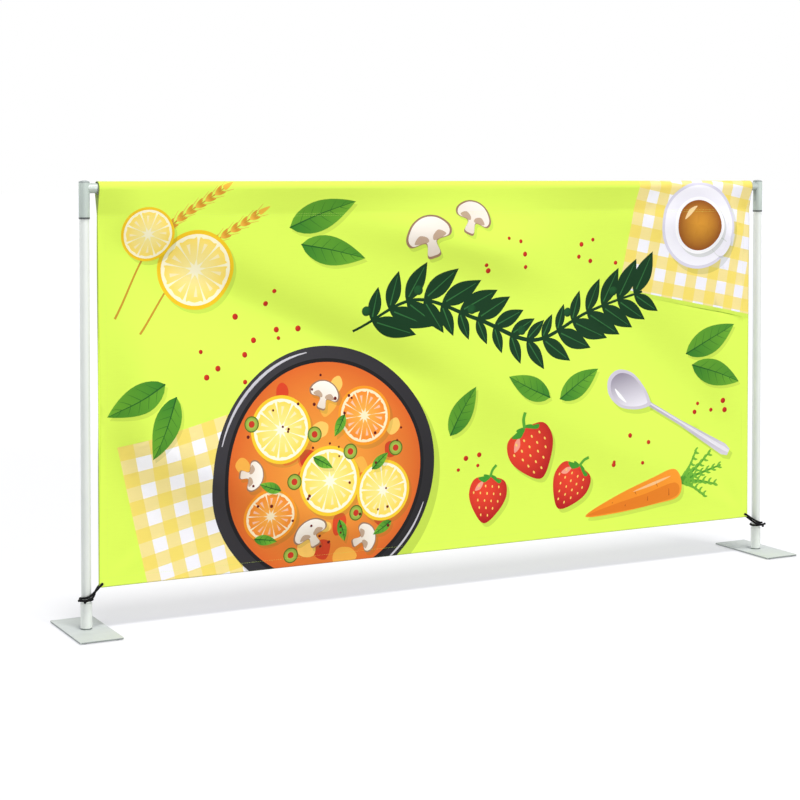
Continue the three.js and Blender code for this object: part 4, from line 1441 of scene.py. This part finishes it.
def clothPiece(name, verts, faces, uvs, colours):
    mesh = bpy.data.meshes.new(name)
    mesh.from_pydata(verts, [], faces)
    mesh.uv_layers.new(name="onCloth").data.foreach_set("uv", uvs)
    ink = mesh.color_attributes.new(name="print", type="FLOAT_COLOR", domain="CORNER")
    ink.data.foreach_set("color", colours)
    mesh.materials.append(finishes["printedCloth"])
    return linkPiece(name, mesh)


def printedInks(places, corners, middles):
    middles[:, 1] = topReach / mm - middles[:, 1]
    u, v = places[corners][:, :, 0], topReach / mm - places[corners][:, :, 1]
    inks = numpy.empty((len(corners), 3, 3))
    inks[:] = linear(lime)
    for outline, ink, cover in artwork:
        inside = insideOutline(outline, middles)
        colour = ink(u[inside].ravel(), v[inside].ravel()) if callable(ink) else numpy.array(linear(ink))
        above = numpy.broadcast_to(colour, (3 * inside.sum(), 3)).reshape(-1, 3, 3)
        inks[inside] += (above - inks[inside]) * cover
    return numpy.dstack([inks, numpy.ones(inks.shape[:2])])


def paleBack(mesh):  # the unprinted face, which the solidified cloth has as its second material
    count = len(mesh.polygons)
    backs, sizes = numpy.empty(count, dtype=int), numpy.empty(count, dtype=int)
    mesh.polygons.foreach_get("material_index", backs)
    mesh.polygons.foreach_get("loop_total", sizes)
    colours = numpy.empty(4 * len(mesh.loops))
    mesh.color_attributes["print"].data.foreach_get("color", colours)
    colours = colours.reshape(-1, 4)
    onBack = numpy.repeat(backs == 1, sizes)
    colours[onBack, :3] += (cloth["backLevel"] - colours[onBack, :3]) * cloth["backPale"]
    mesh.color_attributes["print"].data.foreach_set("color", colours.ravel())
    mesh.polygons.foreach_set("material_index", numpy.zeros(count, dtype=int))


def addBanner():
    places, corners, middles = flatMesh()
    used, renamed = numpy.unique(corners, return_inverse=True)
    verts = [clothPlace(places[corner][0] * mm, places[corner][1] * mm) for corner in used]
    piece = clothPiece("banner_cloth", verts, renamed.reshape(-1, 3).tolist(), (places[corners] * mm).ravel(),
                       printedInks(places, corners, middles).ravel())
    piece.data.materials.append(None)
    applyModifier(piece, "cloth", "SOLIDIFY", thickness=cloth["thickness"], offset=0.0, material_offset=1)
    paleBack(piece.data)
    dress(piece, "printedCloth", "cloth", "frame", "banner")
    print(f"banner_cloth: {len(piece.data.polygons)} faces, cut {clothWidth:.3f} x {cutLength:.3f} m")
    return piece


bannerCloth = addBanner()


# Side hems on the back, and every seam's stitches

def addSideHem(side):
    rows, columns = int((seamHeight - clothLow.z) / cloth["grid"]), 4
    low = clothLow.z + cloth["hem"] + cloth["hemGap"]
    high = seamHeight - cloth["seamAllowance"] - cloth["hemGap"]
    edge = clothHigh.x if side == "right" else clothLow.x
    verts, faces = [], []
    for row in range(rows + 1):
        z = low + (high - low) * row / rows
        for column in range(columns + 1):
            x = edge - sides[side] * cloth["hem"] * column / columns
            verts.append((x, backLayer + clothRise(x, z), z))
    for row in range(rows):
        for first in range(row * (columns + 1), row * (columns + 1) + columns):
            faces.append((first, first + 1, first + columns + 2, first + columns + 1))
    uvs = [part for face in faces for corner in face for part in verts[corner][::2]]
    piece = clothPiece("side_hem_" + side, verts, faces, uvs, [*linear(lime), 1] * 4 * len(faces))
    applyModifier(piece, "cloth", "SOLIDIFY", thickness=cloth["thickness"], offset=0.0)
    return dress(piece, "printedCloth", "cloth", "frame")


stitch = {
    "length": 0.0034,
    "pitch": 0.0046,
    "thick": 0.0005,
    "proud": 0.00008,
    "hemRow": 0.021,
    "pocketRows": (0.0016, 0.0066),  # under the seam's height
    "inset": 0.004,
}


def stitchShape():
    makeActive()
    bpy.ops.mesh.primitive_uv_sphere_add(segments=6, ring_count=3, radius=0.5)
    shape = bpy.context.object
    shape.scale = (stitch["length"], stitch["thick"], stitch["thick"])
    bpy.ops.object.transform_apply(location=True, rotation=True, scale=True)
    verts = [vert.co.copy() for vert in shape.data.vertices]
    faces = [tuple(face.vertices) for face in shape.data.polygons]
    bpy.data.objects.remove(shape, do_unlink=True)
    return verts, faces


def addStitching(name, shape, rows):
    # Each row runs from a start to an end, (x, z), and is on the front and the back of the cloth
    verts, faces = [], []
    across = Vector((0, 1, 0))
    for (startX, startZ), (endX, endZ) in rows:
        length = math.hypot(endX - startX, endZ - startZ)
        count = int(length / stitch["pitch"])
        along = Vector(((endX - startX) / length, 0, (endZ - startZ) / length))
        up = along.cross(across)
        for face in (-1, 1):
            depth = face * (backLayer + cloth["thickness"] / 2 + stitch["proud"])
            for index in range(count):
                share = (index + 0.5) / count
                x, z = startX + (endX - startX) * share, startZ + (endZ - startZ) * share
                middle = Vector((x, depth + clothRise(x, z), z))
                first = len(verts)
                verts.extend(middle + along * place.x + across * place.y + up * place.z for place in shape[0])
                faces.extend(tuple(first + corner for corner in corners) for corners in shape[1])
    mesh = bpy.data.meshes.new(name)
    mesh.from_pydata(verts, [], faces)
    return dress(linkPiece(name, mesh), "thread", "cloth", "frame")


def addSeams():
    shape = stitchShape()
    left, right = clothLow.x + stitch["inset"], clothHigh.x - stitch["inset"]
    hemHeight = clothLow.z + stitch["hemRow"]
    pocket = [((left, seamHeight - drop), (right, seamHeight - drop)) for drop in stitch["pocketRows"]]
    made = [addStitching("pocket_stitching", shape, pocket),
            addStitching("bottom_stitching", shape, [((left, hemHeight), (right, hemHeight))])]
    top = seamHeight - cloth["seamAllowance"] - stitch["inset"]
    for side in sides:
        x = (clothHigh.x if side == "right" else clothLow.x) - sides[side] * stitch["hemRow"]
        row = ((x, hemHeight + stitch["inset"]), (x, top))
        made.append(addStitching("side_stitching_" + side, shape, [row]))
    return made


sideHems = [addSideHem(side) for side in sides]
seams = addSeams()
print("banner, hems and stitches are hung")
